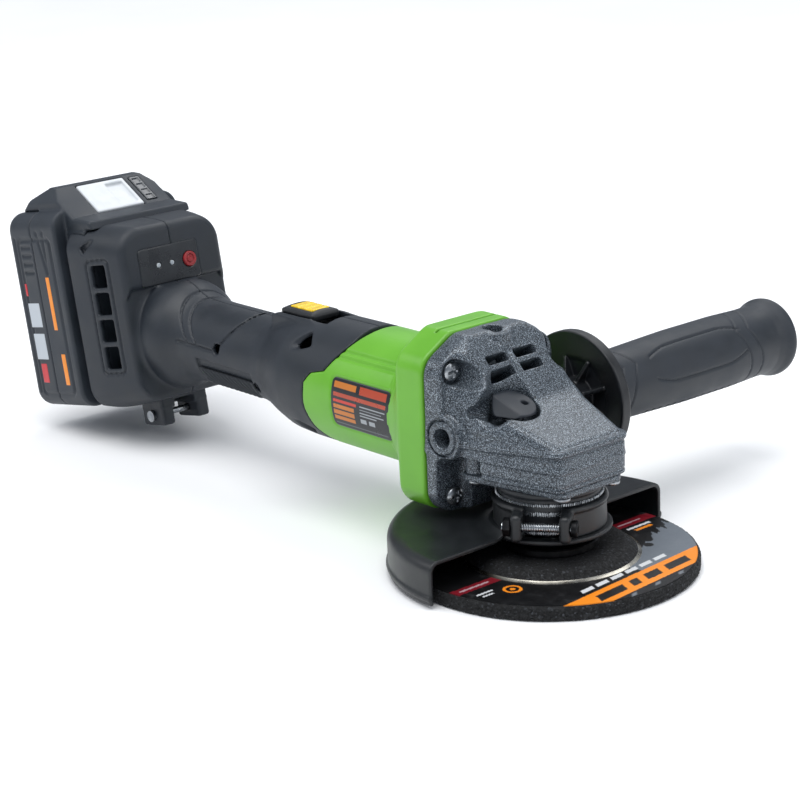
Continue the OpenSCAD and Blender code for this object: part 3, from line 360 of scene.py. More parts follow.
def addNode(tree, kind, settings=(), **links):
    # one node with its settings, and links from sockets by input name or number
    node = tree.nodes.new(kind)
    for name, value in dict(settings).items():
        if isinstance(name, int) or not hasattr(node, name):
            node.inputs[name].default_value = value
        else:
            setattr(node, name, value)
    for name, socket in links.items():
        tree.links.new(socket, node.inputs[int(name[1:]) if name[0] == "i" and name[1:].isdigit() else name])
    return node


def perMm(size):
    # texture scale that makes one feature this many millimetres wide
    return 1 / (size * mm)


def startFinish(name, look):
    material = bpy.data.materials.new(name)
    material.use_nodes = True
    tree = material.node_tree
    shader = next(n for n in tree.nodes if n.type == "BSDF_PRINCIPLED")
    shader.inputs["Base Color"].default_value = linear(look["colour"])
    shader.inputs["Roughness"].default_value = look["roughness"]
    shader.inputs["Metallic"].default_value = look.get("metallic", 0.0)
    if not look.get("metallic"):
        shader.inputs["IOR"].default_value = look.get("ior", 1.5)
    for socket in ("Coat Weight", "Coat Roughness", "Transmission Weight", "Alpha", "Sheen Weight",
                   "Subsurface Weight", "Subsurface Scale", "Specular IOR Level"):
        if socket in look:
            shader.inputs[socket].default_value = look[socket]
    if look.get("Subsurface Weight"):
        shader.inputs["Subsurface Radius"].default_value = (1, 1, 1)
    where = addNode(tree, "ShaderNodeTexCoord").outputs["Object"]
    return material, tree, shader, where


def makeFinish(name, look):
    # mottled colour, a roughness that follows a slow cloud, and relief from up to two patterns
    material, tree, shader, where = startFinish(name, look)
    cloud = addNode(tree, "ShaderNodeTexNoise", {"Scale": perMm(look.get("cloudMm", 9)), "Detail": 3.0},
                    Vector=where).outputs["Fac"]
    if "second" in look:
        spotted = cloud
        if "spotMm" in look:
            spotted = addNode(tree, "ShaderNodeTexNoise", {"Scale": perMm(look["spotMm"]), "Detail": 2.0},
                              Vector=where).outputs["Fac"]
        low, high = look.get("spotEdges", (0.35, 0.65))
        share = addNode(tree, "ShaderNodeMapRange", {1: low, 2: high}, Value=spotted).outputs[0]
        mix = addNode(tree, "ShaderNodeMix", {"data_type": "RGBA", 6: linear(look["colour"]),
                                              7: linear(look["second"])}, Factor=share)
        tree.links.new(mix.outputs[2], shader.inputs["Base Color"])
    spread = look.get("spread", 0.08)
    rough = addNode(tree, "ShaderNodeMapRange", {1: 0.3, 2: 0.7, 3: max(0.02, look["roughness"] - spread),
                                                 4: min(1.0, look["roughness"] + spread)}, Value=cloud)
    tree.links.new(rough.outputs[0], shader.inputs["Roughness"])
    height = None
    if "grainMm" in look:
        grain = addNode(tree, "ShaderNodeTexNoise", {"Scale": perMm(look["grainMm"]), "Detail": 2.0},
                        Vector=where).outputs["Fac"]
        bump = addNode(tree, "ShaderNodeBump", {"Strength": look.get("grainStrength", 0.4),
                                                "Distance": look.get("grainDepth", 0.05) * mm}, Height=grain)
        height = bump.outputs[0]
    if "bandMm" in look:
        # turned, drawn or stacked marks: bands across one axis, or rings round it
        bands = addNode(tree, "ShaderNodeTexWave",
                        {"wave_type": look.get("bandKind", "BANDS"), "Scale": perMm(look["bandMm"]) / 20 * 2 * math.pi / 2,
                         "Distortion": look.get("bandWander", 0.4), "Detail": 1.0}, Vector=where)
        setattr(bands, "rings_direction" if look.get("bandKind") == "RINGS" else "bands_direction",
                look.get("bandAxis", "X"))
        settings = {"Strength": look.get("bandStrength", 0.3), "Distance": look.get("bandDepth", 0.05) * mm}
        node = addNode(tree, "ShaderNodeBump", settings, Height=bands.outputs["Fac"])
        if height is not None:
            tree.links.new(height, node.inputs["Normal"])
        height = node.outputs[0]
    if height is not None:
        tree.links.new(height, shader.inputs["Normal"])
    return material


looks = {
    # glass-filled nylon from a spark-eroded mould: an even, fine matt grain with a faint cloud
    "darkNylon": dict(colour="#1b2128", second="#21272f", roughness=0.5, grainMm=0.5, grainDepth=0.05,
                      grainStrength=0.5, cloudMm=14),
    # the pack's nylon is the same moulding a shade duller
    "packNylon": dict(colour="#22282f", second="#292f37", roughness=0.52, grainMm=0.55, grainDepth=0.05,
                      grainStrength=0.5, cloudMm=18),
    # self-coloured green nylon from a polished mould: satin gloss with a faint flow cloud
    "greenNylon": dict(colour="#65ab28", second="#6bb22d", roughness=0.36, grainMm=0.7, grainDepth=0.02,
                       grainStrength=0.25, cloudMm=20, spread=0.04),
    # black nylon of the handled parts, finer grain and a little shine from use
    "blackNylon": dict(colour="#121417", second="#1a1d21", roughness=0.42, grainMm=0.45, grainDepth=0.03,
                       grainStrength=0.4, cloudMm=8),
    # grey nylon of the inner mouldings, plain and matt
    "greyNylon": dict(colour="#3b3f44", second="#45494e", roughness=0.6, grainMm=0.6, grainDepth=0.04, cloudMm=7),
    # white nylon of the release button: slightly cloudy and satin
    "whiteNylon": dict(colour="#d3d7da", second="#dcdfe1", roughness=0.38, grainMm=0.5, grainDepth=0.02,
                       grainStrength=0.3, cloudMm=6),
    # pressed sheet steel under gloss black enamel: a soft orange-peel under a glassy coat
    "blackEnamel": dict(colour="#0d1114", second="#121619", roughness=0.5, grainMm=2.2, grainDepth=0.05,
                        grainStrength=0.25, cloudMm=12, spread=0.06, **{"Coat Weight": 0.25, "Coat Roughness": 0.3}),
    # the cast bearing cover, painted a plain satin black over its sand-fine skin
    "castCover": dict(colour="#1b1e22", second="#24282c", roughness=0.42, metallic=0.0, grainMm=0.8, grainDepth=0.08,
                      cloudMm=6),
    # zinc-plated screws: bright with a grey bloom and fine turning rings
    "zincPlate": dict(colour="#a9adb0", second="#8b8f94", roughness=0.3, metallic=1.0, grainMm=0.5, grainDepth=0.02,
                      cloudMm=3, spread=0.1),
    # ground steel: fine marks round the axis, oily bright
    "groundSteel": dict(colour="#b4b7ba", second="#9a9da1", roughness=0.24, metallic=1.0, bandMm=0.5,
                        bandDepth=0.02, cloudMm=5),
    # case-hardened gears: darker, heat-straw and grey patches
    "gearSteel": dict(colour="#6f6a63", second="#585b60", roughness=0.36, metallic=1.0, grainMm=0.6, grainDepth=0.03,
                      cloudMm=4),
    # bearing races: polished chrome steel
    "bearingSteel": dict(colour="#c3c5c8", second="#aeb1b5", roughness=0.16, metallic=1.0, bandMm=0.4,
                         bandDepth=0.01, cloudMm=6, spread=0.05),
    # sintered bronze: open pores that hold the oil
    "sinteredBronze": dict(colour="#8d6a3a", second="#6f5230", roughness=0.5, metallic=1.0, grainMm=0.5,
                           grainDepth=0.08, grainStrength=0.8, spotMm=0.8),
    # blackened steel: a deep blue-black skin that thins to brown at handled faces
    "blackOxide": dict(colour="#17181a", second="#2a2a2b", roughness=0.4, metallic=0.85, grainMm=0.6, grainDepth=0.03,
                       cloudMm=5),
    # spring wire, drawn and oiled
    "springWire": dict(colour="#8f9296", second="#6f7276", roughness=0.3, metallic=1.0, bandMm=0.4, bandDepth=0.02,
                       cloudMm=2),
    # stacked laminations: one line for each sheet, drawn coarser than the real 0.5 mm to show
    "laminations": dict(colour="#77797c", second="#55575b", roughness=0.42, metallic=1.0, bandMm=1.0, bandAxis="X",
                        bandStrength=0.8, bandDepth=0.15, bandWander=0.0, cloudMm=8),
    # enamelled copper wire, wound in layers
    "copperWinding": dict(colour="#9a4f1d", second="#b5652b", roughness=0.28, metallic=0.9, bandMm=0.9,
                          bandStrength=0.9, bandDepth=0.25, bandWander=1.2, cloudMm=4),
    # thermoplastic rubber moulded over the grip: dead matt and slightly dusty
    "gripRubber": dict(colour="#24282d", second="#2e3237", roughness=0.78, grainMm=0.6, grainDepth=0.06, cloudMm=10),
    # yellow acrylic inlay of the slide switch: bright, smooth and faintly streaked
    "yellowInlay": dict(colour="#f2c200", second="#ffda1f", roughness=0.24, grainMm=1.2, grainDepth=0.01, cloudMm=3,
                        **{"Coat Weight": 0.3}),
    # solder-masked board: green lacquer over a woven base
    "circuitBoard": dict(colour="#0e3d22", second="#14512d", roughness=0.3, grainMm=1.0, grainDepth=0.03,
                         bandMm=1.4, bandStrength=0.3, bandAxis="Y", spotMm=3),
    # polyester film over the lights: smooth, tight and dark
    "panelFilm": dict(colour="#15191e", second="#1b2026", roughness=0.3, grainMm=0.9, grainDepth=0.01, cloudMm=9,
                      **{"Coat Weight": 0.2}),
    # clear light pipes, milky at their ends
    "lightPipe": dict(colour="#9aa2a8", second="#c3c9cd", roughness=0.2, grainMm=0.6, grainDepth=0.01, cloudMm=1.5,
                      **{"Subsurface Weight": 0.2, "Subsurface Scale": 0.0005}),
    # red silicone rubber of the power button, soft and matt
    "redSilicone": dict(colour="#8c1f24", second="#a42a2d", roughness=0.5, grainMm=0.5, grainDepth=0.03, cloudMm=3,
                        **{"Subsurface Weight": 0.1, "Subsurface Scale": 0.0006}),
    # shrink sleeve over the cells: thin PVC, glossy and slightly rippled
    "cellSleeve": dict(colour="#1c5f8f", second="#22699b", roughness=0.3, grainMm=3.0, grainDepth=0.06, cloudMm=12),
    # rolled nickel strip with spot-weld dimples
    "nickelStrip": dict(colour="#b9b5aa", second="#a09c92", roughness=0.28, metallic=1.0, bandMm=0.6, bandAxis="Z",
                        bandDepth=0.02, spotMm=4),
    # tinned bronze spring leaves
    "terminalBronze": dict(colour="#b58a45", second="#9c7438", roughness=0.26, metallic=1.0, bandMm=0.5,
                           bandAxis="Z", bandDepth=0.02, cloudMm=3),
    # smoked lens of the charge gauge
    "gaugeLens": dict(colour="#2a2e33", second="#363b41", roughness=0.12, grainMm=1.5, grainDepth=0.01, cloudMm=4,
                      **{"Coat Weight": 0.5, "Coat Roughness": 0.05}),
}
finishes = {name: makeFinish(name, look) for name, look in looks.items()}


def hammeredPaint():
    # hammer-finish enamel on die-cast alloy: flakes gather in small cells and leave dark pools between them,
    # so the eye gets a silver and black speckle under a clear gloss; the real 0.5 mm cells are drawn at 0.8 mm
    look = dict(colour="#565e66", roughness=0.36, metallic=0.2, cellMm=0.75, poolMm=0.42)
    material, tree, shader, where = startFinish("hammeredPaint", look)
    cells = addNode(tree, "ShaderNodeTexVoronoi", {"feature": "SMOOTH_F1", "Scale": perMm(look["cellMm"]),
                                                   "Smoothness": 0.35}, Vector=where)
    fleck = addNode(tree, "ShaderNodeTexNoise", {"Scale": perMm(look["poolMm"]), "Detail": 1.5}, Vector=where)
    ramp = addNode(tree, "ShaderNodeValToRGB", Fac=fleck.outputs["Fac"])
    stops = [(0.36, "#0d1013"), (0.46, "#30373e"), (0.56, "#5c656e"), (0.67, "#9da7af")]
    while len(ramp.color_ramp.elements) < len(stops):
        ramp.color_ramp.elements.new(0.5)
    for element, (at, tone) in zip(ramp.color_ramp.elements, stops):
        element.position = at
        element.color = linear(tone)
    tree.links.new(ramp.outputs[0], shader.inputs["Base Color"])
    metal = addNode(tree, "ShaderNodeMapRange", {1: 0.45, 2: 0.62, 3: 0.05, 4: 0.35}, Value=fleck.outputs["Fac"])
    tree.links.new(metal.outputs[0], shader.inputs["Metallic"])
    bump = addNode(tree, "ShaderNodeBump", {"Strength": 0.45, "Distance": 0.1 * mm}, Height=cells.outputs["Distance"])
    bump.invert = True
    tree.links.new(bump.outputs[0], shader.inputs["Normal"])
    return material


def bondedAbrasive():
    # resin-bonded grit: charcoal binder with glinting black and grey grains; 0.5 mm grit drawn at 0.9 mm
    look = dict(colour="#101114", roughness=0.85, gritMm=0.75)
    material, tree, shader, where = startFinish("bondedAbrasive", look)
    grit = addNode(tree, "ShaderNodeTexVoronoi", {"Scale": perMm(look["gritMm"])}, Vector=where)
    tone = addNode(tree, "ShaderNodeSeparateColor", Color=grit.outputs["Color"]).outputs[0]
    ramp = addNode(tree, "ShaderNodeValToRGB", Fac=tone)
    stops = [(0.0, "#050506"), (0.7, "#0a0b0d"), (0.93, "#141619"), (1.0, "#34373c")]
    while len(ramp.color_ramp.elements) < len(stops):
        ramp.color_ramp.elements.new(0.5)
    for element, (at, shade) in zip(ramp.color_ramp.elements, stops):
        element.position = at
        element.color = linear(shade)
    tree.links.new(ramp.outputs[0], shader.inputs["Base Color"])
    shine = addNode(tree, "ShaderNodeMapRange", {3: 0.95, 4: 0.7}, Value=tone)
    tree.links.new(shine.outputs[0], shader.inputs["Roughness"])
    bump = addNode(tree, "ShaderNodeBump", {"Strength": 0.55, "Distance": 0.22 * mm}, Height=grit.outputs["Distance"])
    bump.invert = True
    tree.links.new(bump.outputs[0], shader.inputs["Normal"])
    return material


def printedFinish(name, look):
    # ink on a smooth label: the colours are the mesh's own print, under a thin lacquer with faint scuffs
    material, tree, shader, where = startFinish(name, look)
    ink = addNode(tree, "ShaderNodeAttribute", {"attribute_name": "printColour"}).outputs["Color"]
    worn = addNode(tree, "ShaderNodeTexNoise", {"Scale": perMm(look["scuffMm"]), "Detail": 4.0}, Vector=where)
    share = addNode(tree, "ShaderNodeMapRange", {1: 0.6, 2: 0.8, 3: 0.0, 4: look["scuff"]}, Value=worn.outputs["Fac"])
    mix = addNode(tree, "ShaderNodeMix", {"data_type": "RGBA", 7: linear("#8b8d90")}, Factor=share.outputs[0], i6=ink)
    tree.links.new(mix.outputs[2], shader.inputs["Base Color"])
    rough = addNode(tree, "ShaderNodeMapRange", {1: 0.3, 2: 0.7, 3: look["roughness"] - 0.06,
                                                 4: look["roughness"] + 0.1}, Value=worn.outputs["Fac"])
    tree.links.new(rough.outputs[0], shader.inputs["Roughness"])
    return material


finishes["hammeredPaint"] = hammeredPaint()
finishes["bondedAbrasive"] = bondedAbrasive()
# screen-printed paper label pressed on the wheel: satin, with dusty scuffs
finishes["printedLabel"] = printedFinish("printedLabel", dict(colour="#0a0a0c", roughness=0.4, scuffMm=6, scuff=0.12))
# rating plate: printed polyester foil under gloss lacquer
finishes["ratingPlate"] = printedFinish("ratingPlate", dict(colour="#14161a", roughness=0.3, scuffMm=9, scuff=0.04))
print("finishes made")

slotFinish = {
    "hammered_paint": "hammeredPaint", "cast_cover": "castCover", "zinc_screw": "zincPlate",
    "ground_steel": "groundSteel", "gear_steel": "gearSteel", "bearing_steel": "bearingSteel",
    "sintered_bronze": "sinteredBronze", "black_oxide_steel": "blackOxide", "bonded_abrasive": "bondedAbrasive",
    "printed_label": "printedLabel", "black_enamel": "blackEnamel", "black_nylon": "blackNylon",
    "spring_steel": "springWire", "lamination_steel": "laminations", "copper_winding": "copperWinding",
    "grey_nylon": "greyNylon", "green_nylon": "greenNylon", "rating_plate": "ratingPlate",
    "dark_nylon": "darkNylon", "pack_nylon": "packNylon", "grip_rubber": "gripRubber",
    "yellow_inlay": "yellowInlay", "circuit_board": "circuitBoard", "panel_film": "panelFilm",
    "light_pipe": "lightPipe", "red_silicone": "redSilicone", "cell_sleeve": "cellSleeve",
    "nickel_strip": "nickelStrip", "terminal_bronze": "terminalBronze", "white_nylon": "whiteNylon",
    "gauge_lens": "gaugeLens"}
nodeSlot = {part["node"]: part["material_slot"] for part in frame["record"]["subparts"]}

# every carried-over CAD node takes the finish of its slot
for node, obj in frame["nodes"].items():
    obj.data.materials.clear()
    obj.data.materials.append(finishes[slotFinish[nodeSlot[node]]])


# ---- gear case ----

gearCase = dict(step=0.55, archTop=caseHigh[2] + 0.3, steepSlope=50.5, roofSlope=18.4, ledgeZ=axisZ + 3,
                skirtLow=axisZ - 15, slotWide=5.9, slotHigh=2.0)


def archOutline(y, z, grow=0.0):
    # flange seen along the motor: a rounded square whose top runs up to a boss in the middle
    half, low = flangeHalf - 10, flangeLow + 10
    points = [(-half, low), (half, low), (half, axisZ + 24.5), (13, gearCase["archTop"] - 9.5),
              (-13, gearCase["archTop"] - 9.5), (-half, axisZ + 24.5)]
    return outline(y, z, points, 10 + grow)


def gearCaseField(x, y, z):
    g = gearCase
    side = np.abs(y)
    body = slab(archOutline(y, z), x, headX + 0.1, headX + 10.5, 1.6)
    # plan of the head: flat nose, rounded corners, and flanks that widen back to the flange
    plan = [(noseX - 5, -1), (noseX - 5, noseX - 10), (-8, 22.6), (-22, 24), (-31, 26.5), (headX + 1, 27), (headX + 1, -1)]
    planDistance = outline(x, side, plan, 5)
    roofA, roofB = math.radians(g["roofSlope"]), math.radians(g["steepSlope"])
    roof = (x - headX - 8) * math.sin(roofA) + (z - axisZ - 22) * math.cos(roofA)
    steep = (x - headX - 19.1) * math.sin(roofB) + (z - axisZ - 31.1) * math.cos(roofB)
    draft = (z - g["ledgeZ"]) * 0.16
    head = both(both(planDistance + 1.1 + draft, roof, 3.2), g["skirtLow"] + 8 - z, 0.5)
    stack = both(both(planDistance + 0.8 + draft * 1.15, steep, 3.5), g["skirtLow"] + 20 - z, 0.5)
    stack = np.maximum(both(stack, archOutline(y, z), 2.0), x - (headX + 38))
    body = blend(body, head, 2.5)
    body = blend(body, stack, 2.5)
    skirtPlan = np.maximum(planDistance, -12 - x)
    # the ledge is a proud lip between two fine lines, falling a little towards the motor
    fall = (x - noseX) * 0.07
    skirt = slab(skirtPlan, z, g["skirtLow"], g["ledgeZ"] - 0.6, 0.7)
    skirt = carve(skirt, np.maximum(np.abs(z - fall - g["ledgeZ"] + 3.7) - 0.35, -0.5 - planDistance), 0.3)
    skirt = carve(skirt, np.maximum(np.abs(z - g["skirtLow"] - 2.2) - 0.3, -0.45 - planDistance), 0.3)
    lip = slab(planDistance - 0.75, z - fall, g["ledgeZ"] - 2.9, g["ledgeZ"] - 0.4, 0.6)
    lip = np.maximum(lip, -25 - x)
    body = np.minimum(body, skirt)
    body = blend(body, lip, 0.5)
    # raised arch rim and the two kinds of handle boss
    body = blend(body, rodShape((x, y, z), (headX + 8, 0, axisZ), (headX + 8, 0, caseHigh[2]), 8.0, 0.8), 1.6)
    bossX = headX + 10
    bossFace = caseHigh[1] - 1.6
    body = blend(body, rodShape((x, y, z), (bossX, -bossFace, axisZ), (bossX, bossFace, axisZ), 9.6, 0.8), 1.6)
    ring = np.sqrt((x - bossX) ** 2 + (z - axisZ) ** 2)
    body = carve(body, np.maximum(np.abs(ring - 7.6) - 0.5, bossFace - 1.1 - side), 0.3)
    for s in (-1, 1):
        for zc in (axisZ + flangeHalf - 6, axisZ - flangeHalf + 6):
            centre = (flangeHalf - 8) * s
            reach = 60 if zc > axisZ else -17.5 - headX
            well = rodShape((x, y, z), (headX + 8, centre, zc), (headX + reach, centre, zc), 5.4, 0.5)
            body = carve(body, well, 1.2)
            # the well runs out to the side as a pointed scoop
            far = (headX + 24, centre + s * 4.5, zc + 1) if zc > axisZ else (headX + 17, centre + s * 12, zc + 2)
            scoop = rodShape((x, y, z), (headX + 11.5, centre + s * 1.5, zc), far, 5.4, 1.0, 6.8)
            body = carve(body, scoop, 1.4)
    # undercut behind the skirt, open at the side
    under = boxShape((x, side, z), (headX + 6.6, 17, 0), (-11.8, 60, g["skirtLow"] + 6.3), 4.5)
    body = carve(body, under, 0.7)
    # posts that the rear cover screws bite into
    post = (-20.5, flangeHalf - 11)
    body = blend(body, rodShape((x, side, z), (*post, g["skirtLow"]), (*post, g["skirtLow"] + 9), 4.4, 0.5), 1.5)
    # button well: round, with a pointed scoop running back along the flank and an open lip below
    cx, cy = lockCentre[0], lockCentre[1]
    well = rodShape((x, y, z), (cx - 0.5, cy + 0.2, axisZ + 5.2), (cx - 0.5, cy + 0.2, axisZ + 60), 10.7, 0.4)
    body = carve(body, well, 0.9)
    point = rodShape((x, y, z), (cx - 1, cy - 3, axisZ + 14.5), (cx - 12, cy - 15, axisZ + 11.5), 8.6, 1.0, 1.8)
    body = carve(body, point, 1.2)
    lip = rodShape((x, y, z), (cx, cy - 3, axisZ + 17.5), (cx, cy - 24, axisZ + 14.5), 7.5, 1.0, 8.5)
    body = carve(body, lip, 1.6)
    # roof slots, two rows of two
    for s in (-1, 1):
        for row in (0, 1):
            centre = np.array([headX + 19.1 + 4.1 * row, s * 7.9, axisZ + 31.1 - 5.0 * row])
            along, up = np.array([math.cos(roofB), 0, -math.sin(roofB)]), np.array([math.sin(roofB), 0, math.cos(roofB)])
            q = (x - centre[0], y - centre[1], z - centre[2])
            local = (q[0] * along[0] + q[2] * along[2], q[1], q[0] * up[0] + q[2] * up[2])
            body = carve(body, boxShape(local, (-g["slotHigh"], -g["slotWide"], -16), (g["slotHigh"], g["slotWide"], 9), 0.6), 0.3)
    # what the inside holds: crown gear, pinion, bush, bearing and the sockets
    for start, end, radius in (((0, 0, axisZ - 17), (0, 0, axisZ - 3.8), 22.6),
                               ((-17, 0, axisZ), (headX - 2, 0, axisZ), 9.4),
                               ((headX - 2, 0, axisZ), (headX + 13, 0, axisZ), 11.1),
                               ((headX - 2, 0, axisZ), (headX + 2.6, 0, axisZ), 19.5),
                               ((0, 0, axisZ - 6), (0, 0, axisZ + 4.6), 7.1),
                               ((cx, cy, axisZ - 16), (cx, cy, axisZ + 20), 2.6),
                               ((headX + 8, 0, caseHigh[2] - 14), (headX + 8, 0, caseHigh[2] + 2), 4.1)):
        body = carve(body, rodShape((x, y, z), start, end, radius), 0.3)
    socket = np.maximum(ring - 4.1, caseHigh[1] - 14 - side)
    body = carve(body, socket, 0.5)
    return body


gearCaseBody = shaped("gearCaseBody", gearCaseField, caseLow - 2, caseHigh + 2, gearCase["step"], "gear_case",
                      rounds=1, most=150000)


# ---- screws ----

def screwHead(x, y, h, radius, height, crossWidth=0.55, crossDepth=1.1):
    # pan head: a flat dome with a cross recess that narrows to a point
    flat = np.sqrt(x * x + y * y)
    dome = both(flat - radius, np.sqrt(flat ** 2 + (h - height + radius * 1.9) ** 2) - radius * 1.9, 0.5)
    dome = both(dome, -h, 0.15)
    reach = radius * 0.62
    depth = height - crossDepth
    for a, b in ((x, y), (y, x)):
        arm = np.maximum(np.maximum(np.abs(a) - crossWidth, np.abs(b) - reach - (h - height) * 0.3), depth - h)
        dome = carve(dome, arm, 0.15)
    return dome


def panScrews(name, node, spots, radius, height, shank, along, step=0.28):
    # along turns a spot's (u, v, h) into the part's frame; every spot gets a head and a plain shank
    size = (-radius - 0.4, -radius - 0.4, -1), (radius + 0.4, radius + 0.4, height + 0.4)

    def field(x, y, h):
        rod = slab(np.sqrt(x * x + y * y) - shank[0], h, -shank[1], 0.3, 0.1)
        return np.minimum(screwHead(x, y, h, radius, height), rod)

    low = np.array([size[0][0], size[0][1], -shank[1] - 0.4])
    points, faces = surfaceNet(field, low, size[1], step if fine else step * 1.5)
    points = relax(points, faces, 1)
    allPoints = [np.stack(along(points[:, 0], points[:, 1], points[:, 2], spot), 1) for spot in spots]
    allFaces = [faces + i * len(points) for i in range(len(spots))]
    obj = tidy(piece(name, makeMesh(name, np.concatenate(allPoints), np.concatenate(allFaces)), node))
    thin(obj, 40000)
    return obj


def alongX(u, v, h, spot):
    return spot[0] + h, spot[1] + u, spot[2] + v


def downwards(u, v, h, spot):
    return spot[0] + u, spot[1] + v, spot[2] - h


screwY, screwUp = flangeHalf - 8, flangeHalf - 6
caseScrewSpots = [(headX + 8, a * screwY, axisZ + b * screwUp) for a in (-1, 1) for b in (-1, 1)]
panScrews("caseScrewHeads", "case_screws", caseScrewSpots, 4.2, 3.0, (2.4, 21), alongX)
coverScrewSpots = [(noseX - 4.5, s * (noseX - 11.5), axisZ - 18) for s in (-1, 1)]
coverScrewSpots += [(-20.5, s * (flangeHalf - 11), axisZ - 18) for s in (-1, 1)]
panScrews("coverScrewHeads", "cover_screws", coverScrewSpots, 3.6, 2.3, (1.95, 9), downwards)


# ---- bearing cover: plate and neck with the serrated land that the clamp grips ----

coverLow, coverHigh = corners("bearing_cover")
bandLow, bandHigh = corners("clamp_band")
neckR = 21.7


def coverField(x, y, z):
    side = np.abs(y)
    plan = [(noseX - 6.5, -1), (noseX - 6.5, noseX - 12.5), (-21, flangeHalf - 12), (-21, -1)]
    plate = slab(outline(x, side, plan, 6), z, axisZ - 18, axisZ - 15.1, 0.8)
    flat = np.sqrt(x * x + y * y)
    neck = slab(flat - neckR, z, coverLow[2], axisZ - 17, 0.6)
    collar = slab(flat - neckR - 1.2, z, axisZ - 20.5, axisZ - 18.0, 0.6)
    bores = np.minimum(slab(flat - 10.7, z, 0, 60), slab(flat - 16.1, z, axisZ - 32, 60))
    return carve(plate, bores, 0.3), carve(blend(collar, neck, 0.8), bores, 0.3)


shaped("spindleCoverPlate", lambda x, y, z: coverField(x, y, z)[0], coverLow - 1, coverHigh + 1, 0.5, "bearing_cover",
       most=60000, slot="hammered_paint")
shaped("spindleCoverNeck", lambda x, y, z: coverField(x, y, z)[1], coverLow - 1, (24, 24, axisZ - 16), 0.5,
       "bearing_cover", most=40000, standsFor=False)

# serrations of the neck: small upright teeth in bands, bright where the clamp has rubbed them
serrations = dict(teeth=150, depth=0.35, rows=[(axisZ - 23.6, axisZ - 22.4), (axisZ - 27.6, axisZ - 25.8),
                                               (axisZ - 35.4, axisZ - 33.2)])
for i, (low, high) in enumerate(serrations["rows"]):
    def serrate(radius, height, turn):
        wave = serrations["depth"] * np.sign(np.sin(turn * serrations["teeth"]))
        return radius + np.where(radius > neckR, wave, 0), height + 0 * turn
    sides = serrations["teeth"] * 4
    band = [(neckR - 0.4, low), (neckR + 0.6, low + 0.1), (neckR + 0.6, high - 0.1), (neckR - 0.4, high)]
    turned("neckSerration%d" % i, band, "bearing_cover", sides=sides, wobble=serrate, slot="zinc_screw",
           standsFor=False)


# ---- spindle lock button ----

# the pin stands in the middle of its spring, which is not the middle of the cut cap
springLow, springHigh = corners("lock_spring")
pinX, pinY = (springLow[:2] + springHigh[:2]) / 2


def lockButtonField(x, y, z):
    cx, cy = lockCentre[0], lockCentre[1]
    radius = (lockHigh[0] - lockLow[0]) / 2 + 0.6
    top = lockHigh[2]
    flat = np.sqrt((x - cx) ** 2 + (y - cy) ** 2)
    body = slab(flat - radius, z, axisZ + 10.9, top + 4, 0.4)
    # the top falls with the roof, and a finger face falls away to the flank
    a = math.radians(20)
    face = (x - cx) * math.sin(a) + (z - top + 1.6) * math.cos(a)
    turn = math.radians(-72)
    across = (x - cx - 1) * math.cos(turn) + (y - cy + 1.5) * math.sin(turn)
    b = math.radians(52)
    fingerFace = across * math.sin(b) + (z - top - 1.6) * math.cos(b)
    body = both(both(body, face, 0.25), fingerFace, 0.2)
    hole = rodShape((x, y, z), (cx + 1.6, cy + 4.4, top - 8), (cx + 1.6, cy + 4.4, top + 4), 1.5)
    body = carve(body, hole, 0.4)
    pin = rodShape((x, y, z), (pinX, pinY, lockLow[2]), (pinX, pinY, axisZ + 12), 2.45, 0.3)
    return np.minimum(body, pin)


shaped("lockButtonCap", lockButtonField, lockLow - 1.5, lockHigh + 1.5, 0.35, "lock_button", rounds=1, most=60000,
       slot="dark_nylon")


# ---- springs: round wire carried along a helix ----

def coilSpring(name, node, centre, axis, radius, length, turns, wire):
    axis = unit(axis)
    side = unit(np.cross(axis, (0, 1, 0) if abs(axis[1]) < 0.9 else (1, 0, 0)))
    other = np.cross(axis, side)
    t = np.linspace(0, 1, int(turns * 28))[:, None]
    ease = np.clip(t, 0, 1)
    angle = 2 * np.pi * turns * t
    path = np.array(centre) + axis * (wire + ease * (length - 2 * wire)) + radius * (
        np.cos(angle) * side + np.sin(angle) * other)
    out = np.cos(angle) * side + np.sin(angle) * other
    round_ = (np.arange(10) * 2 * np.pi / 10)[None, :, None]
    rings = path[:, None, :] + wire * (np.cos(round_) * out[:, None, :] + np.sin(round_) * axis)
    points = np.concatenate([rings.reshape(-1, 3), path[:1], path[-1:]])
    faces = gridFaces(len(t), 10)
    n = len(points)
    ends = [[i, (i + 1) % 10, n - 2, n - 2] for i in range(10)]
    ends += [[n - 12 + (i + 1) % 10, n - 12 + i, n - 1, n - 1] for i in range(10)]
    obj = piece(name, makeMesh(name, points, faces), node)
    capMesh(obj, ends)
    return tidy(obj)


def capMesh(obj, ends):
    # close a tube: fans of three-sided faces to the last two points
    import bmesh
    work = bmesh.new()
    work.from_mesh(obj.data)
    work.verts.ensure_lookup_table()
    for a, b, c, _ in ends:
        face = work.faces.new([work.verts[a], work.verts[b], work.verts[c]])
        face.smooth = True
    work.to_mesh(obj.data)
    work.free()


coilSpring("lockSpringCoil", "lock_spring", (pinX, pinY, springLow[2]), (0, 0, 1), 4.0,
           springHigh[2] - springLow[2], 4.5, 0.45)
pressLow, pressHigh = corners("release_spring")
pressMiddle = (pressLow + pressHigh) / 2
coilSpring("releaseSpringCoil", "release_spring", pressMiddle - footOut * 1.35, footOut, 1.6, 2.7, 3.2, 0.25)


# ---- motor housing ----

housing = dict(step=0.6, flareStart=11, grooveAngles=(133, 139.5), grooveRadius=0.75, seam=0.15)
seamBase = housingLow[0] + 13


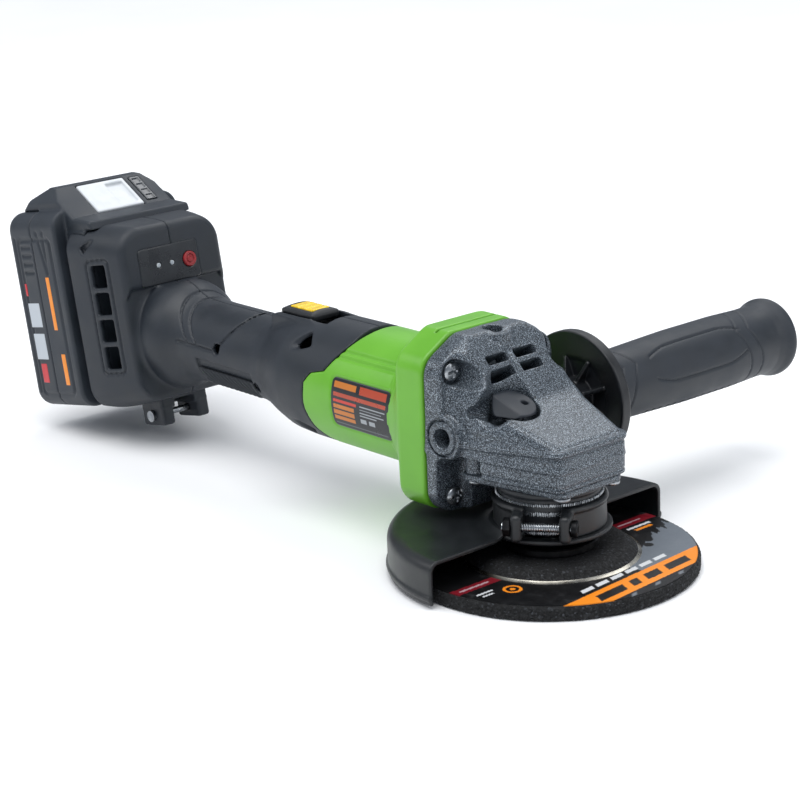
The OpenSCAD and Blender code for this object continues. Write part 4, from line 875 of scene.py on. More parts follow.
def seamOutline(x, z, gap=0.0):
    # side view of the joint between green housing and dark shells: a leaning arc with a step at mid height
    b = housingLow[0] + 13 + gap
    points = [(b + 17, axisZ + 50), (b + 14.5, axisZ + 29.5), (b + 9, axisZ + 22), (b + 4, axisZ + 15.5),
              (b + 1, axisZ + 11.5), (b - 7, axisZ + 9.5), (b - 11, axisZ + 5), (b - 12, axisZ - 6),
              (b - 10, axisZ - 17), (b - 5, axisZ - 25), (b - 2, axisZ - 32), (b - 2, axisZ - 60),
              (60, axisZ - 60), (60, axisZ + 50)]
    return outline(x, z, points)


def motorHousingField(x, y, z):
    h = housing
    flat = np.sqrt(y ** 2 + (z - axisZ) ** 2)
    block = slab(archOutline(y, z, 0.7), x, flangeBackX, headX - 0.15, 1.4)
    barrel = slab(flat - barrelRadius, x, housingLow[0] - 5, headX - 4, 0.3)
    # flare from the round barrel up to the square flange: the outline grows over the flare's length
    t = np.clip((x - (flangeBackX - h["flareStart"])) / h["flareStart"], 0, 1)
    flare = np.maximum((flat - barrelRadius) * (1 - t) + archOutline(y, z, 0.4) * t,
                       np.maximum(flangeBackX - h["flareStart"] - x, x - headX + 4))
    outer = np.minimum(blend(barrel, flare, 3.0), block)
    # slit across the top arch
    outer = carve(outer, boxShape((x, y, z), (flangeBackX + 8.4, -18, axisZ + 37.4), (flangeBackX + 9.4, 18, axisZ + 60), 0.3), 0.2)
    for s in (-1, 1):
        for degrees in h["grooveAngles"]:
            a = math.radians(degrees)
            gy, gz = s * barrelRadius * -math.cos(a), axisZ + barrelRadius * math.sin(a) * 1.0
            groove = rodShape((x, y, z), (housingLow[0] + 12, gy, gz), (flangeBackX - 12, gy, gz), h["grooveRadius"])
            outer = carve(outer, groove, 0.7)
    outer = both(outer, seamOutline(x, z, h["seam"]), 0.5)
    # bed of the rating plate
    bed = boxShape((x, y, z), plateLow - 0.6, plateHigh + 0.6, 2.6)
    outer = carve(outer, np.maximum(bed, barrelRadius - 0.55 - flat), 0.3)
    # motor bore, rear wall, bearing seat and screws
    outer = carve(outer, rodShape((x, y, z), (housingLow[0] + 9, 0, axisZ), (headX + 5, 0, axisZ), statorRadius + 0.1), 0.4)
    outer = carve(outer, rodShape((x, y, z), (housingLow[0] - 30, 0, axisZ), (housingLow[0], 0, axisZ), barrelRadius - 2.5), 0.4)
    outer = carve(outer, rodShape((x, y, z), (housingLow[0] + 1, 0, axisZ), (0, 0, axisZ), 11.05), 0.2)
    for a in (-1, 1):
        for b in (-1, 1):
            outer = carve(outer, rodShape((x, y, z), (flangeBackX - 1, a * screwY, axisZ + b * screwUp),
                                          (headX + 1, a * screwY, axisZ + b * screwUp), 2.6), 0.3)
    return outer


plateLow, plateHigh = corners("label_plate")
shaped("motorHousingShell", motorHousingField, (housingLow[0] - 3, housingLow[1] - 1.5, housingLow[2] - 1.5),
       (housingHigh[0] + 2, housingHigh[1] + 2, caseHigh[2] + 2), housing["step"], "motor_housing", rounds=3, most=140000)


# ---- printed pieces: a fine grid with its ink worked out point by point ----

def paint(obj, colours):
    attribute = obj.data.color_attributes.new("printColour", "FLOAT_COLOR", "POINT")
    full = np.ones((len(colours), 4), np.float32)
    full[:, :3] = colours
    attribute.data.foreach_set("color", full.ravel())


def ink(shape, hexColour, base):
    return np.where(shape[:, None], np.array(linear(hexColour)[:3]), base)


def closedSheet(topPoints, rows, columns, thickness, normals, wrap=False):
    # a printed sheet: the grid, a copy of it lower down, and a wall of faces round the edge
    under = topPoints - normals * thickness
    n = rows * columns
    top = gridFaces(rows, columns, closeColumns=wrap)
    faces = [top, top[:, ::-1] + n]
    r, c = np.arange(rows), np.arange(columns)
    loops = [r[:-1] * columns, r[:-1] * columns + columns - 1] if not wrap else []
    nexts = [r[1:] * columns, r[1:] * columns + columns - 1] if not wrap else []
    sides = [(loops[0], nexts[0]), (nexts[1], loops[1])] if not wrap else []
    c1 = c if wrap else c[:-1]
    c2 = (c1 + 1) % columns
    sides += [(c2, c1), ((rows - 1) * columns + c1, (rows - 1) * columns + c2)]
    for a, b in sides:
        faces.append(np.stack([b, a, a + n, b + n], 1))
    return np.concatenate([topPoints, under]), np.concatenate(faces)


plate = dict(radius=barrelRadius - 0.1, corner=2.4, thickness=0.45,
             bars=[(0.05, 0.42, 0.80, 0.93, "#c4742a"), (0.48, 0.93, 0.78, 0.94, "#b0452c"),
                   (0.05, 0.93, 0.64, 0.71, "#b0452c"), (0.05, 0.44, 0.52, 0.58, "#c93a2c"),
                   (0.05, 0.40, 0.40, 0.48, "#c4742a"), (0.05, 0.40, 0.28, 0.36, "#c4742a"),
                   (0.05, 0.40, 0.16, 0.24, "#c4742a"), (0.50, 0.92, 0.545, 0.565, "#9fa3a8"),
                   (0.50, 0.86, 0.485, 0.505, "#9fa3a8"), (0.50, 0.90, 0.425, 0.445, "#9fa3a8"),
                   (0.50, 0.78, 0.365, 0.385, "#9fa3a8"), (0.50, 0.60, 0.22, 0.31, "#9fa3a8"),
                   (0.64, 0.74, 0.22, 0.31, "#9fa3a8"), (0.05, 0.93, 0.07, 0.09, "#5c6066")])
rows, columns = (90, 200) if fine else (60, 130)
u, v = np.meshgrid(np.linspace(0, 1, columns), np.linspace(0, 1, rows))
plateLong = plateHigh[0] - plateLow[0] - 1.0
angleTop = math.asin((plateHigh[2] - axisZ - 0.6) / plate["radius"])
angleLow = math.asin((plateLow[2] - axisZ + 0.6) / plate["radius"])
# corners pulled in to a round: rows near the top and foot of the plate are shorter
tall = (angleTop - angleLow) * plate["radius"]
fromEdge = np.minimum(v, 1 - v) * tall
pull = np.where(fromEdge < plate["corner"],
                plate["corner"] - np.sqrt(np.maximum(plate["corner"] ** 2 - (plate["corner"] - fromEdge) ** 2, 0)), 0)
along = (u - 0.5) * (plateLong - 2 * pull) + (plateHigh[0] + plateLow[0]) / 2
angle = angleLow + v * (angleTop - angleLow)
outward = np.stack([0 * u, -np.cos(angle), np.sin(angle)], -1).reshape(-1, 3)
top = np.stack([along, -plate["radius"] * np.cos(angle), axisZ + plate["radius"] * np.sin(angle)], -1).reshape(-1, 3)
points, faces = closedSheet(top, rows, columns, plate["thickness"], outward)
platePiece = tidy(piece("ratingPlateFoil", makeMesh("ratingPlateFoil", points, faces), "label_plate"), 0.001)
local = np.zeros(len(platePiece.data.vertices) * 3, np.float32)
platePiece.data.vertices.foreach_get("co", local)
local = local.reshape(-1, 3) / mm
su = (local[:, 0] - plateLow[0]) / (plateHigh[0] - plateLow[0])
sv = (np.arcsin(np.clip((local[:, 2] - axisZ) / plate["radius"], -1, 1)) - angleLow) / (angleTop - angleLow)
colours = np.tile(np.array(linear("#1b1d21")[:3]), (len(su), 1))
edge = (np.minimum(su, 1 - su) * 1.9 < 0.022) | (np.minimum(sv, 1 - sv) < 0.022)
colours = ink(edge, "#4a4d52", colours)
for u0, u1, v0, v1, tone in plate["bars"]:
    colours = ink((su > u0) & (su < u1) & (sv > v0) & (sv < v1), tone, colours)
paint(platePiece, colours)
print("rating plate printed")


# ---- rear shells: grip, bell and battery foot ----

shell = dict(step=0.62, wall=2.5, footHalf=36.0, footTop=58.5, footLow=-34.0, footDeep=40.0, dockFloor=-26.0,
             dockHalf=31.0, dockLow=-24.0, dockTop=55.4, gripFrom=18.0)
# radius of the grip at distances forward from the foot
gripStops = [(-40, 24.0), (-12, 24.5), (0, 26.6), (5, 26.4), (10, 25.2), (15, 22.4), (20, 20.6), (30, 19.9), (68, 19.9),
             (76, 20.2), (84, 21.6), (94, 25.0), (104, 27.6), (116, 28.3), (150, barrelRadius)]
fineX = np.arange(-40, 150, 0.5)
fineR = np.interp(fineX, *np.array(gripStops).T)
kernel = np.hanning(17) / np.hanning(17).sum()
fineR = np.convolve(np.pad(fineR, 8, mode="edge"), kernel, mode="valid")
switchLow, switchHigh = corners("switch_inlay")
switchX = (switchLow[0] + switchHigh[0]) / 2
switchFlat = axisZ + barrelRadius - 4.2


def gripBody(x, y, z):
    radius = np.interp(x - footX, fineX, fineR)
    slope = np.interp(x - footX, fineX, np.gradient(fineR, fineX))
    # round in section, its radius following the stops along the grip and cut off behind the foot
    flat = np.sqrt(y ** 2 + (z - axisZ) ** 2)
    d = (flat - radius) / np.sqrt(1 + slope ** 2)
    return np.maximum(d, footX - 12 - x)


def footBody(n, y, u):
    # rounded block that narrows to the front
    s = shell
    t = np.clip(-n / s["footDeep"], 0, 1)
    half = s["footHalf"] - 6.5 * (1 - t) ** 1.5
    top = s["footTop"] - 4.5 * (1 - t) ** 2
    low = s["footLow"] + 4.0 * (1 - t) ** 2
    r = 13.0
    qy = np.abs(y) - half + r
    qu = np.abs(u - (top + low) / 2) - (top - low) / 2 + r
    d = np.sqrt(np.maximum(qy, 0) ** 2 + np.maximum(qu, 0) ** 2) + np.minimum(np.maximum(qy, qu), 0) - r
    return slab(d, n, -s["footDeep"], 0, 3.5)


def shellOuter(x, y, z):
    s = shell
    n, _, u = inFoot(x, y, z)
    grip = gripBody(x, y, z)
    foot = footBody(n, y, u)
    # shallow dish in the front face, round the root of the grip
    rootDistance = np.sqrt(y ** 2 + ((z - axisZ) * 0.9) ** 2)
    dish = np.maximum(np.abs(rootDistance - 29) - 5.5, -3 - n) - 0.25 * n
    foot = carve(foot, np.maximum(dish, u - 25), 2.6)
    body = blend(grip, foot, 4.0)
    # saddle round the slide switch: a raised flat with sloping ends
    saddle = boxShape((x, y, z), (switchX - 16, -11, axisZ + 10), (switchX + 24, 11, switchFlat + 2.6), 2.0)
    saddle = np.maximum(saddle, (z - switchFlat - 2.6) * 0.8 + (x - switchX - 12) * 0.35)
    saddle = np.maximum(saddle, (z - switchFlat - 2.4) * 0.8 - (x - switchX + 11) * 0.3)
    body = blend(body, saddle, 2.5)
    return body, n, u


def shellField(x, y, z):
    s = shell
    side = np.abs(y)
    body, n, u = shellOuter(x, y, z)
    # dock for the pack's stage, open behind and at the top
    body = carve(body, boxShape((n, y, u), (-60, -s["dockHalf"], s["dockLow"]), (s["dockFloor"], s["dockHalf"], 90), 1.0), 0.5)
    body = carve(body, boxShape((n, y, u), (-60, -60, s["dockTop"]), (-20.6, 60, 95), 0.5), 0.8)
    # hollow inside, one wall thick
    hollow = body + s["wall"]
    body = np.maximum(body, -hollow)
    # ring groove that closes the smooth grip cover, leaning back over the top
    lean = (x - footX - 52) * 0.77 - (z - axisZ - 6) * 1.0 * 0.64
    flat = np.sqrt(y ** 2 + (z - axisZ) ** 2)
    surface = flat - np.interp(x - footX, fineX, fineR)
    upper = np.maximum(np.abs(lean) - 0.55, axisZ + 5 - z)
    body = carve(body, np.maximum(upper, -1.0 - surface), 0.3)
    # outline of the cover along both flanks and round its rear end
    a = np.degrees(np.arctan2(z - axisZ, side))
    rear = 13 + 0.5 * np.abs(a - 48)
    lineAlong = np.abs(flat * np.radians(a - 9)) - 0.55
    lineAlong = np.maximum(lineAlong, np.maximum(footX + 20 - x, x - footX - 47))
    body = carve(body, np.maximum(lineAlong, -0.9 - surface), 0.3)
    rearX = x - footX - 21 - 0.0028 * (a - 80) ** 2 * (a < 80)
    lineRear = np.maximum(np.minimum(np.abs(rearX) - 0.55, np.abs(rearX + 6.5) - 0.4), 9 - a)
    body = carve(body, np.maximum(lineRear, -0.9 - surface), 0.3)
    # bed of the ribbed pads, low on the flanks
    inPad = np.maximum(np.abs(a + 36) - 27, np.abs(x - padMiddle) - padHalf)
    body = carve(body, np.maximum(inPad * 0.5, -1.4 - surface), 0.3)
    # screw wells of the shells, with a small round mouth
    for px, pz, radius in ((footX + 50, axisZ + 4, 2.5), (footX + 79, axisZ - 9, 2.5)):
        body = carve(body, np.maximum(np.sqrt((x - px) ** 2 + (z - pz) ** 2) - radius, 9 - side), 0.35)
    # pear-shaped wells of the link screws, running back and down from the joint
    for zc, fall in ((axisZ + 19.5, 1), (axisZ - 19.5, -1)):
        mouth = rodShape((x, side, z), (housingLow[0] - 3, 17.5, zc + 2 * fall), (housingLow[0] - 14, 25, zc - 1 * fall), 4.6, 1.0, 2.2)
        body = carve(body, mouth, 0.8)
    # side air slots in a sunk frame
    frameEdge = outline(n, u, [(-22.5, -12), (-12.5, -12), (-12.5, 39), (-22.5, 39)], 2.5)
    frameLine = np.maximum(np.abs(frameEdge) - 0.45, -(footBody(n, y, u) + 0.9))
    body = carve(body, np.maximum(frameLine, 18 - side), 0.3)
    for i in range(4):
        body = carve(body, boxShape((n, side, u), (-22.3, 20, -12.2 + 13.4 * i), (-12.7, 60, -1.2 + 13.4 * i), 1.0), 0.3)
    # leaf-shaped slit on the shoulder
    leaf = rodShape((n, side, u), (-27, 34, 46.5), (-16, 31.5, 54), 2.1, 0.5, 0.5)
    body = carve(body, leaf, 0.4)
    # bed of the status panel, lights and button
    body = carve(body, boxShape((n, y, u), (-0.95, -20.6, 24.9), (8, 15.3, 43.9), 2.0), 0.3)
    body = carve(body, rodShape((n, y, u), (-9, 9.4, 34.5), (9, 9.4, 34.5), 4.0), 0.2)
    for py in (-9, -1):
        body = carve(body, rodShape((n, y, u), (-9, py, 34.5), (9, py, 34.5), 1.35), 0.1)
    # terminals, hook notch and inside space of the dock floor
    body = carve(body, boxShape((n, y, u), (s["dockFloor"] - 1, -13, -13), (s["dockFloor"] + 3.6, 13, 23)), 0.3)
    body = carve(body, boxShape((n, y, u), (s["dockFloor"] - 1, -11, 43.6), (s["dockFloor"] + 3.6, 11, 53.6)), 0.3)
    # rails
    for e in (-1, 1):
        rail = boxShape((n, y * e, u), (-35, s["dockHalf"] - 6, s["dockLow"] + 1), (-32, s["dockHalf"] + 1, s["dockTop"] - 6), 0.4)
        body = np.minimum(body, rail)
    # slot under the slide knob
    body = carve(body, boxShape((x, y, z), (switchX - 14.5, -9, switchFlat), (switchX + 22.5, 9, axisZ + 60), 0.8), 0.4)
    body = carve(body, boxShape((x, y, z), (switchX - 7, -3.4, axisZ + 10), (switchX + 15, 3.4, axisZ + 60)), 0.3)
    # joint with the motor housing, and the plug inside it
    body = carve(body, seamOutline(x, z, -0.25), 0.5)
    plug = slab(np.abs(flat - 16.5) - 7.5, x, housingLow[0] - 5, housingLow[0] - 0.1)
    for a1 in (-1, 1):
        for b1 in (-1, 1):
            spot = statorRadius * 0.66 / math.sqrt(2)
            plug = carve(plug, np.maximum(np.sqrt((y - a1 * spot) ** 2 + (z - axisZ - b1 * spot) ** 2) - 2.1, 0 * x - 1), 0.1)
    return np.minimum(body, plug)


padLow, padHigh = corners("grip_pads")
padMiddle, padHalf = (padLow[0] + padHigh[0]) / 2, (padHigh[0] - padLow[0]) / 2 + 0.3
shellLow, shellHigh = corners("right_shell")


def rightField(x, y, z):
    return both(shellField(x, y, z), 0.04 - y, 0.35)


def leftField(x, y, z):
    return both(shellField(x, y, z), y + 0.04, 0.35)


leftLow, leftHigh = corners("left_shell")
shaped("leftGripShell", leftField, leftLow - 2, leftHigh + (2, 1.5, 2), shell["step"], "left_shell", most=150000)
shaped("rightGripShell", rightField, shellLow - (2, 1.5, 2), shellHigh + 2, shell["step"], "right_shell", most=150000)


# ---- ribbed rubber pads ----

def padField(x, y, z):
    side = np.abs(y)
    flat = np.sqrt(y ** 2 + (z - axisZ) ** 2)
    a = np.degrees(np.arctan2(z - axisZ, side))
    ribs = 0.45 * np.clip(1.6 * np.sin((x - padMiddle + 0.22 * (a + 36)) * 2 * np.pi / 3.5), -1, 1)
    rim = np.minimum(25.6 - np.abs(a + 36), (padHalf - 0.6 - np.abs(x - padMiddle)) * 1.6)
    radius = np.interp(x - footX, fineX, fineR)
    outer = flat - radius - 0.15 - np.where(rim > 3.0, ribs, -0.1)
    outer = np.maximum(outer * 0.8, radius - 1.3 - flat)
    return np.maximum(outer, -rim * 0.35)


shaped("gripPadRibs", padField, padLow - 1.5, padHigh + 1.5, 0.45, "grip_pads", rounds=1, most=80000)


# ---- slide switch ----

knobLow, knobHigh = corners("switch_knob")


def knobField(x, y, z):
    body = boxShape((x, y, z), (knobLow[0], knobLow[1], switchFlat + 0.4), (knobHigh[0], knobHigh[1], knobHigh[2] + 1.2), 1.2)
    crown = np.sqrt(y ** 2 + (z - knobHigh[2] + 24) ** 2) - 24
    body = both(body, crown, 0.6)
    ends = (z - knobHigh[2]) * 0.75 + (np.abs(x - switchX) - 9.3) * 0.66
    body = both(body, ends, 0.6)
    bed = boxShape((x, y, z), (switchLow[0] - 0.2, switchLow[1] - 0.2, knobHigh[2] - 1.9),
                   (switchHigh[0] + 0.2, switchHigh[1] + 0.2, knobHigh[2] + 5), 0.6)
    body = carve(body, bed, 0.3)
    tongue = boxShape((x, y, z), (switchX - 5, -2.6, axisZ + 9.4), (switchX + 5, 2.6, switchFlat + 1.5), 0.4)
    return np.minimum(body, tongue)


def inlayField(x, y, z):
    body = boxShape((x, y, z), switchLow, switchHigh + (0, 0, 0.5), 0.6)
    steps = 0.12 * np.clip(2 * np.sin((x - switchX) * 2 * np.pi / 5.2), -1, 1)
    return both(body, z - switchHigh[2] - steps, 0.2)


shaped("switchKnobCap", knobField, knobLow - 1, knobHigh + 1, 0.35, "switch_knob", rounds=1, most=60000)
shaped("switchInlayTop", inlayField, switchLow - 1, switchHigh + 1.5, 0.3, "switch_inlay", rounds=1, most=30000)


# ---- status panel, lights and power button ----

def footFieldPiece(name, fieldInFoot, node, low, high, step, **more):
    # low and high are corners in the foot frame; the mesh is found there and turned into the part's frame
    points, faces = surfaceNet(fieldInFoot, low, high, step if fine else step * 1.6)
    points = relax(points, faces, more.pop("rounds", 1))
    most = more.pop("most", 60000)
    world = footOrigin + points[:, :1] * footOut + points[:, 1:2] * (0, 1, 0) + points[:, 2:] * footUp
    obj = piece(name, makeMesh(name, world, faces), node, **more)
    thin(obj, most)
    print(name, len(obj.data.polygons), "faces")
    return obj


def panelField(n, y, u):
    body = boxShape((n, y, u), (-0.8, -20.3, 25.2), (0.15, 15, 43.6), 0.3)
    corner = outline(y, u, [(-18.3, 27.2), (13, 27.2), (13, 41.6), (-18.3, 41.6)], 2.0)
    body = np.maximum(body, corner)
    body = carve(body, np.sqrt((y - 9.4) ** 2 + (u - 34.5) ** 2) - 3.9, 0.15)
    for py in (-9, -1):
        body = carve(body, np.sqrt((y - py) ** 2 + (u - 34.5) ** 2) - 1.3, 0.1)
    return body


footFieldPiece("statusPanelFilm", panelField, "status_panel", (-1.5, -21.5, 24), (1, 16, 44.8), 0.3)


def lightsField(n, y, u):
    body = 9 + 0 * n
    for py in (-9, -1):
        rod = rodShape((n, y, u), (-3, py, 34.5), (0.25, py, 34.5), 1.2, 0.35)
        body = np.minimum(body, rod)
    return body


def powerField(n, y, u):
    flat = np.sqrt((y - 9.4) ** 2 + (u - 34.5) ** 2)
    body = rodShape((n, y, u), (-3, 9.4, 34.5), (1.0, 9.4, 34.5), 3.72, 0.5)
    stem = rodShape((n, y, u), (-4.2, 9.4, 34.5), (-2.5, 9.4, 34.5), 2)
    ring = np.maximum(np.abs(flat - 1.9) - 0.3, 0.55 - n)
    tick = boxShape((n, y, u), (0.55, 9.1, 34.9), (3, 9.7, 37.2))
    body = carve(np.minimum(body, stem), ring, 0.2)
    return carve(body, tick, 0.2)


footFieldPiece("statusLightPipes", lightsField, "status_lights", (-3.5, -11, 32.5), (0.8, 1, 36.5), 0.22)
footFieldPiece("powerButtonPad", powerField, "power_button", (-4.6, 5, 30), (1.5, 14, 39), 0.25)


# ---- wrench clip ----

def clipField(n, y, u):
    low = -45
    side = np.abs(y)
    n = n + 11
    body = boxShape((n, y, u), (-18, -14, low + 8), (0, 14, -30.2), 1.5)
    jaws = boxShape((n, side, u), (-18, 7, low), (0, 14, low + 10), 1.4)
    body = blend(body, jaws, 0.8)
    body = carve(body, rodShape((n, y, u), (-9, -20, low + 5), (-9, 20, low + 5), 1.75), 0.3)
    body = carve(body, boxShape((n, side, u), (-14, -6, low + 5), (1, 6, low + 12), 1.0), 0.5)
    return carve(body, boxShape((n, side, u), (-14, 9, low + 1.5), (-4, 12, low + 3.4), 0.5), 0.3)


footFieldPiece("wrenchClipBody", clipField, "wrench_clip", (-30, -15, -46), (-10, 15, -29.5), 0.4)


# ---- wheel guard and its clamp ----

guardLow, guardHigh = corners("guard_shell")
guard = dict(sheet=1.8, turnRadius=5.0, bead=0.8, beadLow=2.2, beadHigh=4.4, cone=6.0)


def guardField(x, y, z):
    g = guard
    rim = guardHigh[1] - 0.8
    top = 18.8
    flat = np.sqrt(x * x + y * y)
    turn = g["turnRadius"]
    # a pan: flat top and upright skirt with a rounded turn between them
    def pan(radius, height, r):
        a, b = flat - radius + r, z - height + r
        return np.sqrt(np.maximum(a, 0) ** 2 + np.maximum(b, 0) ** 2) + np.minimum(np.maximum(a, b), 0) - r
    # the top rises in a low cone to the collar
    lift = 2.2 * np.clip(1 - (flat - 25.5) / g["cone"], 0, 1) ** 2
    z = z - lift
    body = carve(pan(rim, top, turn), pan(rim - g["sheet"], top - g["sheet"], turn - g["sheet"]), 0.2)
    z = z + lift
    bead = slab(flat - rim - g["bead"], z, g["beadLow"], g["beadHigh"], 0.7)
    bead = np.maximum(bead, rim - 1.0 - flat)
    body = blend(body, bead, 0.8)
    body = np.maximum(body, guardLow[2] - z)
    body = both(body, x + 0.6 * (np.abs(y) > 0) - 0.6, 0.3)
    collar = slab(flat - 26.1, z, 17.0, 18.9, 0.5)
    body = np.minimum(body, collar)
    return carve(body, flat - 20.8, 0.4)


shaped("guardPan", guardField, guardLow - 1.5, (27.5, guardHigh[1] + 1.5, 22.5), 0.55, "guard_shell", rounds=2,
       most=110000)

lugAngle = math.radians(-53)


def inClamp(x, y, z):
    return (x * math.cos(lugAngle) + y * math.sin(lugAngle), -x * math.sin(lugAngle) + y * math.cos(lugAngle), z)


def bandField(x, y, z):
    flat = np.sqrt(x * x + y * y)
    out, across, _ = inClamp(x, y, z)
    band = slab(flat - 23.7, z, bandLow[2] + 0.1, bandHigh[2], 0.5)
    # a rolled edge stands a little proud of the strip at the top
    band = blend(band, np.sqrt((flat - 23.6) ** 2 + (z - bandHigh[2] + 1.4) ** 2) - 0.9, 0.6)
    lugs = boxShape((out, np.abs(across), z), (19, 7.6, bandLow[2] + 0.4), (30.2, 12.4, bandHigh[2] - 0.8), 2.0)
    body = blend(band, lugs, 1.2)
    body = carve(body, flat - neckR - 0.05, 0.2)
    body = carve(body, boxShape((out, across, z), (14, -7.6, bandLow[2] - 1), (40, 7.6, bandHigh[2] + 1)), 0.3)
    hole = rodShape((out, across, z), (26.7, -30, 25.3), (26.7, 30, 25.3), 2.15)
    return carve(body, hole, 0.3)


shaped("clampBandStrip", bandField, bandLow - (1, 1, 1), bandHigh + (1.5, 1, 1), 0.42, "clamp_band", rounds=1,
       most=50000)


def threadWobble(pitch, depth, low, high):
    # a screw thread: the radius swings with height plus turn, and fades out at both ends
    def wobble(radius, height, turn):
        fade = np.clip((height - low) / pitch, 0, 1) * np.clip((high - height) / pitch, 0, 1)
        saw = np.abs(((height / pitch + turn / (2 * np.pi)) % 1) * 2 - 1)
        return radius - depth * saw * fade * (radius > radius.max() * 0.3), height + 0 * turn
    return wobble


def threadProfile(radius, low, high, pitch):
    heights = np.arange(low, high, pitch / 7)
    return [(0.02, low)] + [(radius, h) for h in heights] + [(radius, high), (0.02, high)]


def onClamp(x, y, h):
    # along the clamp screw, which lies across the lugs
    out, up = 26.7 + x, 25.3 + y
    return out * math.cos(lugAngle) - h * math.sin(lugAngle), out * math.sin(lugAngle) + h * math.cos(lugAngle), up


turned("clampScrewThread", threadProfile(2.0, -16, 13, 1.0), "clamp_screw", sides=28, place=onClamp,
       wobble=threadWobble(1.0, 0.35, -15.5, 12))
turned("clampScrewHead", [(0.02, 12.5), (3.4, 12.5), (3.6, 12.8), (3.6, 14.6), (3.2, 15.1), (1.6, 15.1), (1.5, 13.6),
                          (0.02, 13.6)], "clamp_screw", sides=40, place=onClamp, standsFor=False, slot="black_oxide_steel")
nutSides = 6
nutPoints, nutFaces = lathe([(2.0, -12.4), (3.7, -12.4), (3.95, -12.7), (3.95, -15.2), (3.7, -15.5), (2.0, -15.5)],
                            nutSides, onClamp)
nutPiece = tidy(piece("clampScrewNut", makeMesh("clampScrewNut", nutPoints, nutFaces), "clamp_screw", "black_oxide_steel", False))
nutPiece.data.set_sharp_from_angle(angle=math.radians(20))


# ---- wheel, its printed label, flange and nut ----

hubTop, drop = wheelHigh[2], wheelLow[2]
rimTop = corners("wheel_label")[0][2]
hubRadius = 35.0
wheelSeed = np.random.default_rng(7)


def gritty(radius, height, turn):
    # each point of the grinding faces is pushed in or out by up to half a grain
    rough = wheelSeed.normal(0, 1, radius.shape)
    rimward = np.clip((radius - 56) / 4, 0, 1)
    hub = np.clip((hubRadius + 1 - radius) / 3, 0, 1) * (height > 3)
    return radius - 0.25 * np.abs(rough) * rimward, height - 0.10 * np.abs(rough[:, ::-1]) * (hub + 0.6 * rimward) * np.sign(
        height - 2)


bore = 11.1
wheelShape = [(bore, hubTop - 6), (hubRadius - 4, hubTop - 6), (hubRadius + 1.5, drop)]
wheelShape += [(r, drop) for r in np.linspace(40, wheelRadius - 0.8, 12)]
wheelShape += [(wheelRadius, drop + 0.7)] + [(wheelRadius, h) for h in np.linspace(drop + 1.2, rimTop - 1.0, 9)]
wheelShape += [(wheelRadius - 0.7, rimTop)] + [(r, rimTop) for r in np.linspace(wheelRadius - 1.6, hubRadius + 3.4, 16)]
wheelShape += [(hubRadius + 2.3, rimTop + 0.25), (hubRadius + 1.0, rimTop + 1.3), (hubRadius - 0.8, rimTop + 2.9)]
wheelShape += [(hubRadius - 2.6, rimTop + 4.1)] + [(r, hubTop) for r in np.linspace(hubRadius - 4.2, bore, 14)]
turned("grindingWheelBody", wheelShape, "grinding_wheel", sides=420 if fine else 180, wobble=gritty, angle=50)

# painted highlight: a bright metal ring laid on the rounded edge where the pressed centre meets the flat rim
turned("hubEdgeRing", [(hubRadius + 0.3, rimTop + 1.75), (hubRadius + 1.3, rimTop + 1.05), (hubRadius + 2.5, rimTop + 0.28),
                       (hubRadius + 3.2, rimTop + 0.12), (hubRadius + 3.2, rimTop - 0.3), (hubRadius + 0.3, rimTop - 0.3)],
       "wheel_label", sides=240, slot="nickel_strip", standsFor=False)

labelLow, labelHigh = corners("wheel_label")
label = dict(inner=hubRadius + 3.0, outer=wheelRadius - 1.4, thickness=0.28,
             band=((46.8, -42.0), (40.0, 50.6), (57.4, -27.2), (52.6, 34.9)))
rows, columns = (62, 760) if fine else (40, 500)
r, a = np.meshgrid(np.linspace(label["inner"], label["outer"], rows),
                   np.arange(columns) * 2 * np.pi / columns, indexing="ij")
top = np.stack([r * np.cos(a), r * np.sin(a), np.full_like(r, labelLow[2] + label["thickness"])], -1).reshape(-1, 3)
points, faces = closedSheet(top, rows, columns, label["thickness"], np.array([[0, 0, 1.0]]), wrap=True)
labelPiece = piece("wheelLabelPrint", makeMesh("wheelLabelPrint", points, faces), "wheel_label")
lx, ly = points[:, 0], points[:, 1]
radius, around = np.hypot(lx, ly), np.degrees(np.arctan2(ly, lx))
colours = np.tile(np.array(linear("#0b0b0d")[:3]), (len(lx), 1))


def between(value, low, high):
    return (value > low) & (value < high)


# grey field with a torn edge, an orange bar across the front, two dark red bars and plain marks
torn = np.interp(radius, [35, 48, 61], [46, 69, 79]) + 2.2 * np.sin(radius * 1.1) + 1.2 * np.sin(radius * 2.9 + 1)
colours = ink(between(around, 12, 1e9) & (around < torn) & (lx > 3), "#6b727a", colours)
for k in range(4):
    spot = np.hypot(lx - (25 - 4 * k), ly - (33 + 4 * k)) < (2.2 - 0.35 * k)
    colours = ink(spot, "#0b0b0d", colours)
barFrom, barTo = 43.7 - 0.073 * ly, 55.3 - 0.077 * ly
colours = ink(lx > barTo, "#0b0b0d", colours)
colours = ink(between(lx, barFrom, barTo), "#f58e1b", colours)
for low, high in ((-24, -8), (-4, 1), (5, 14), (18, 32)):
    mark = between(ly + 0.4 * (lx - 49), low, high) & between(lx, barFrom + 3.2, barTo - 3.2)
    colours = ink(mark, "#141210", colours)
for low in range(-24, 30, 9):
    colours = ink(between(ly + 0.4 * (lx - 40), low, low + 7) & between(lx, barFrom - 5.0, barFrom - 2.4), "#d9dbdd",
                  colours)
for low in (-12, 2, 16):
    colours = ink(between(ly + (lx - 57), low, low + 3) & between(lx, barTo + 1.2, barTo + 3.2), "#6f747a", colours)
for redPart in (between(lx, 3.4, 8.6) & (ly < 0), between(lx, -2.4, 3.6) & (ly > 0)):
    colours = ink(redPart, "#7a1220", colours)
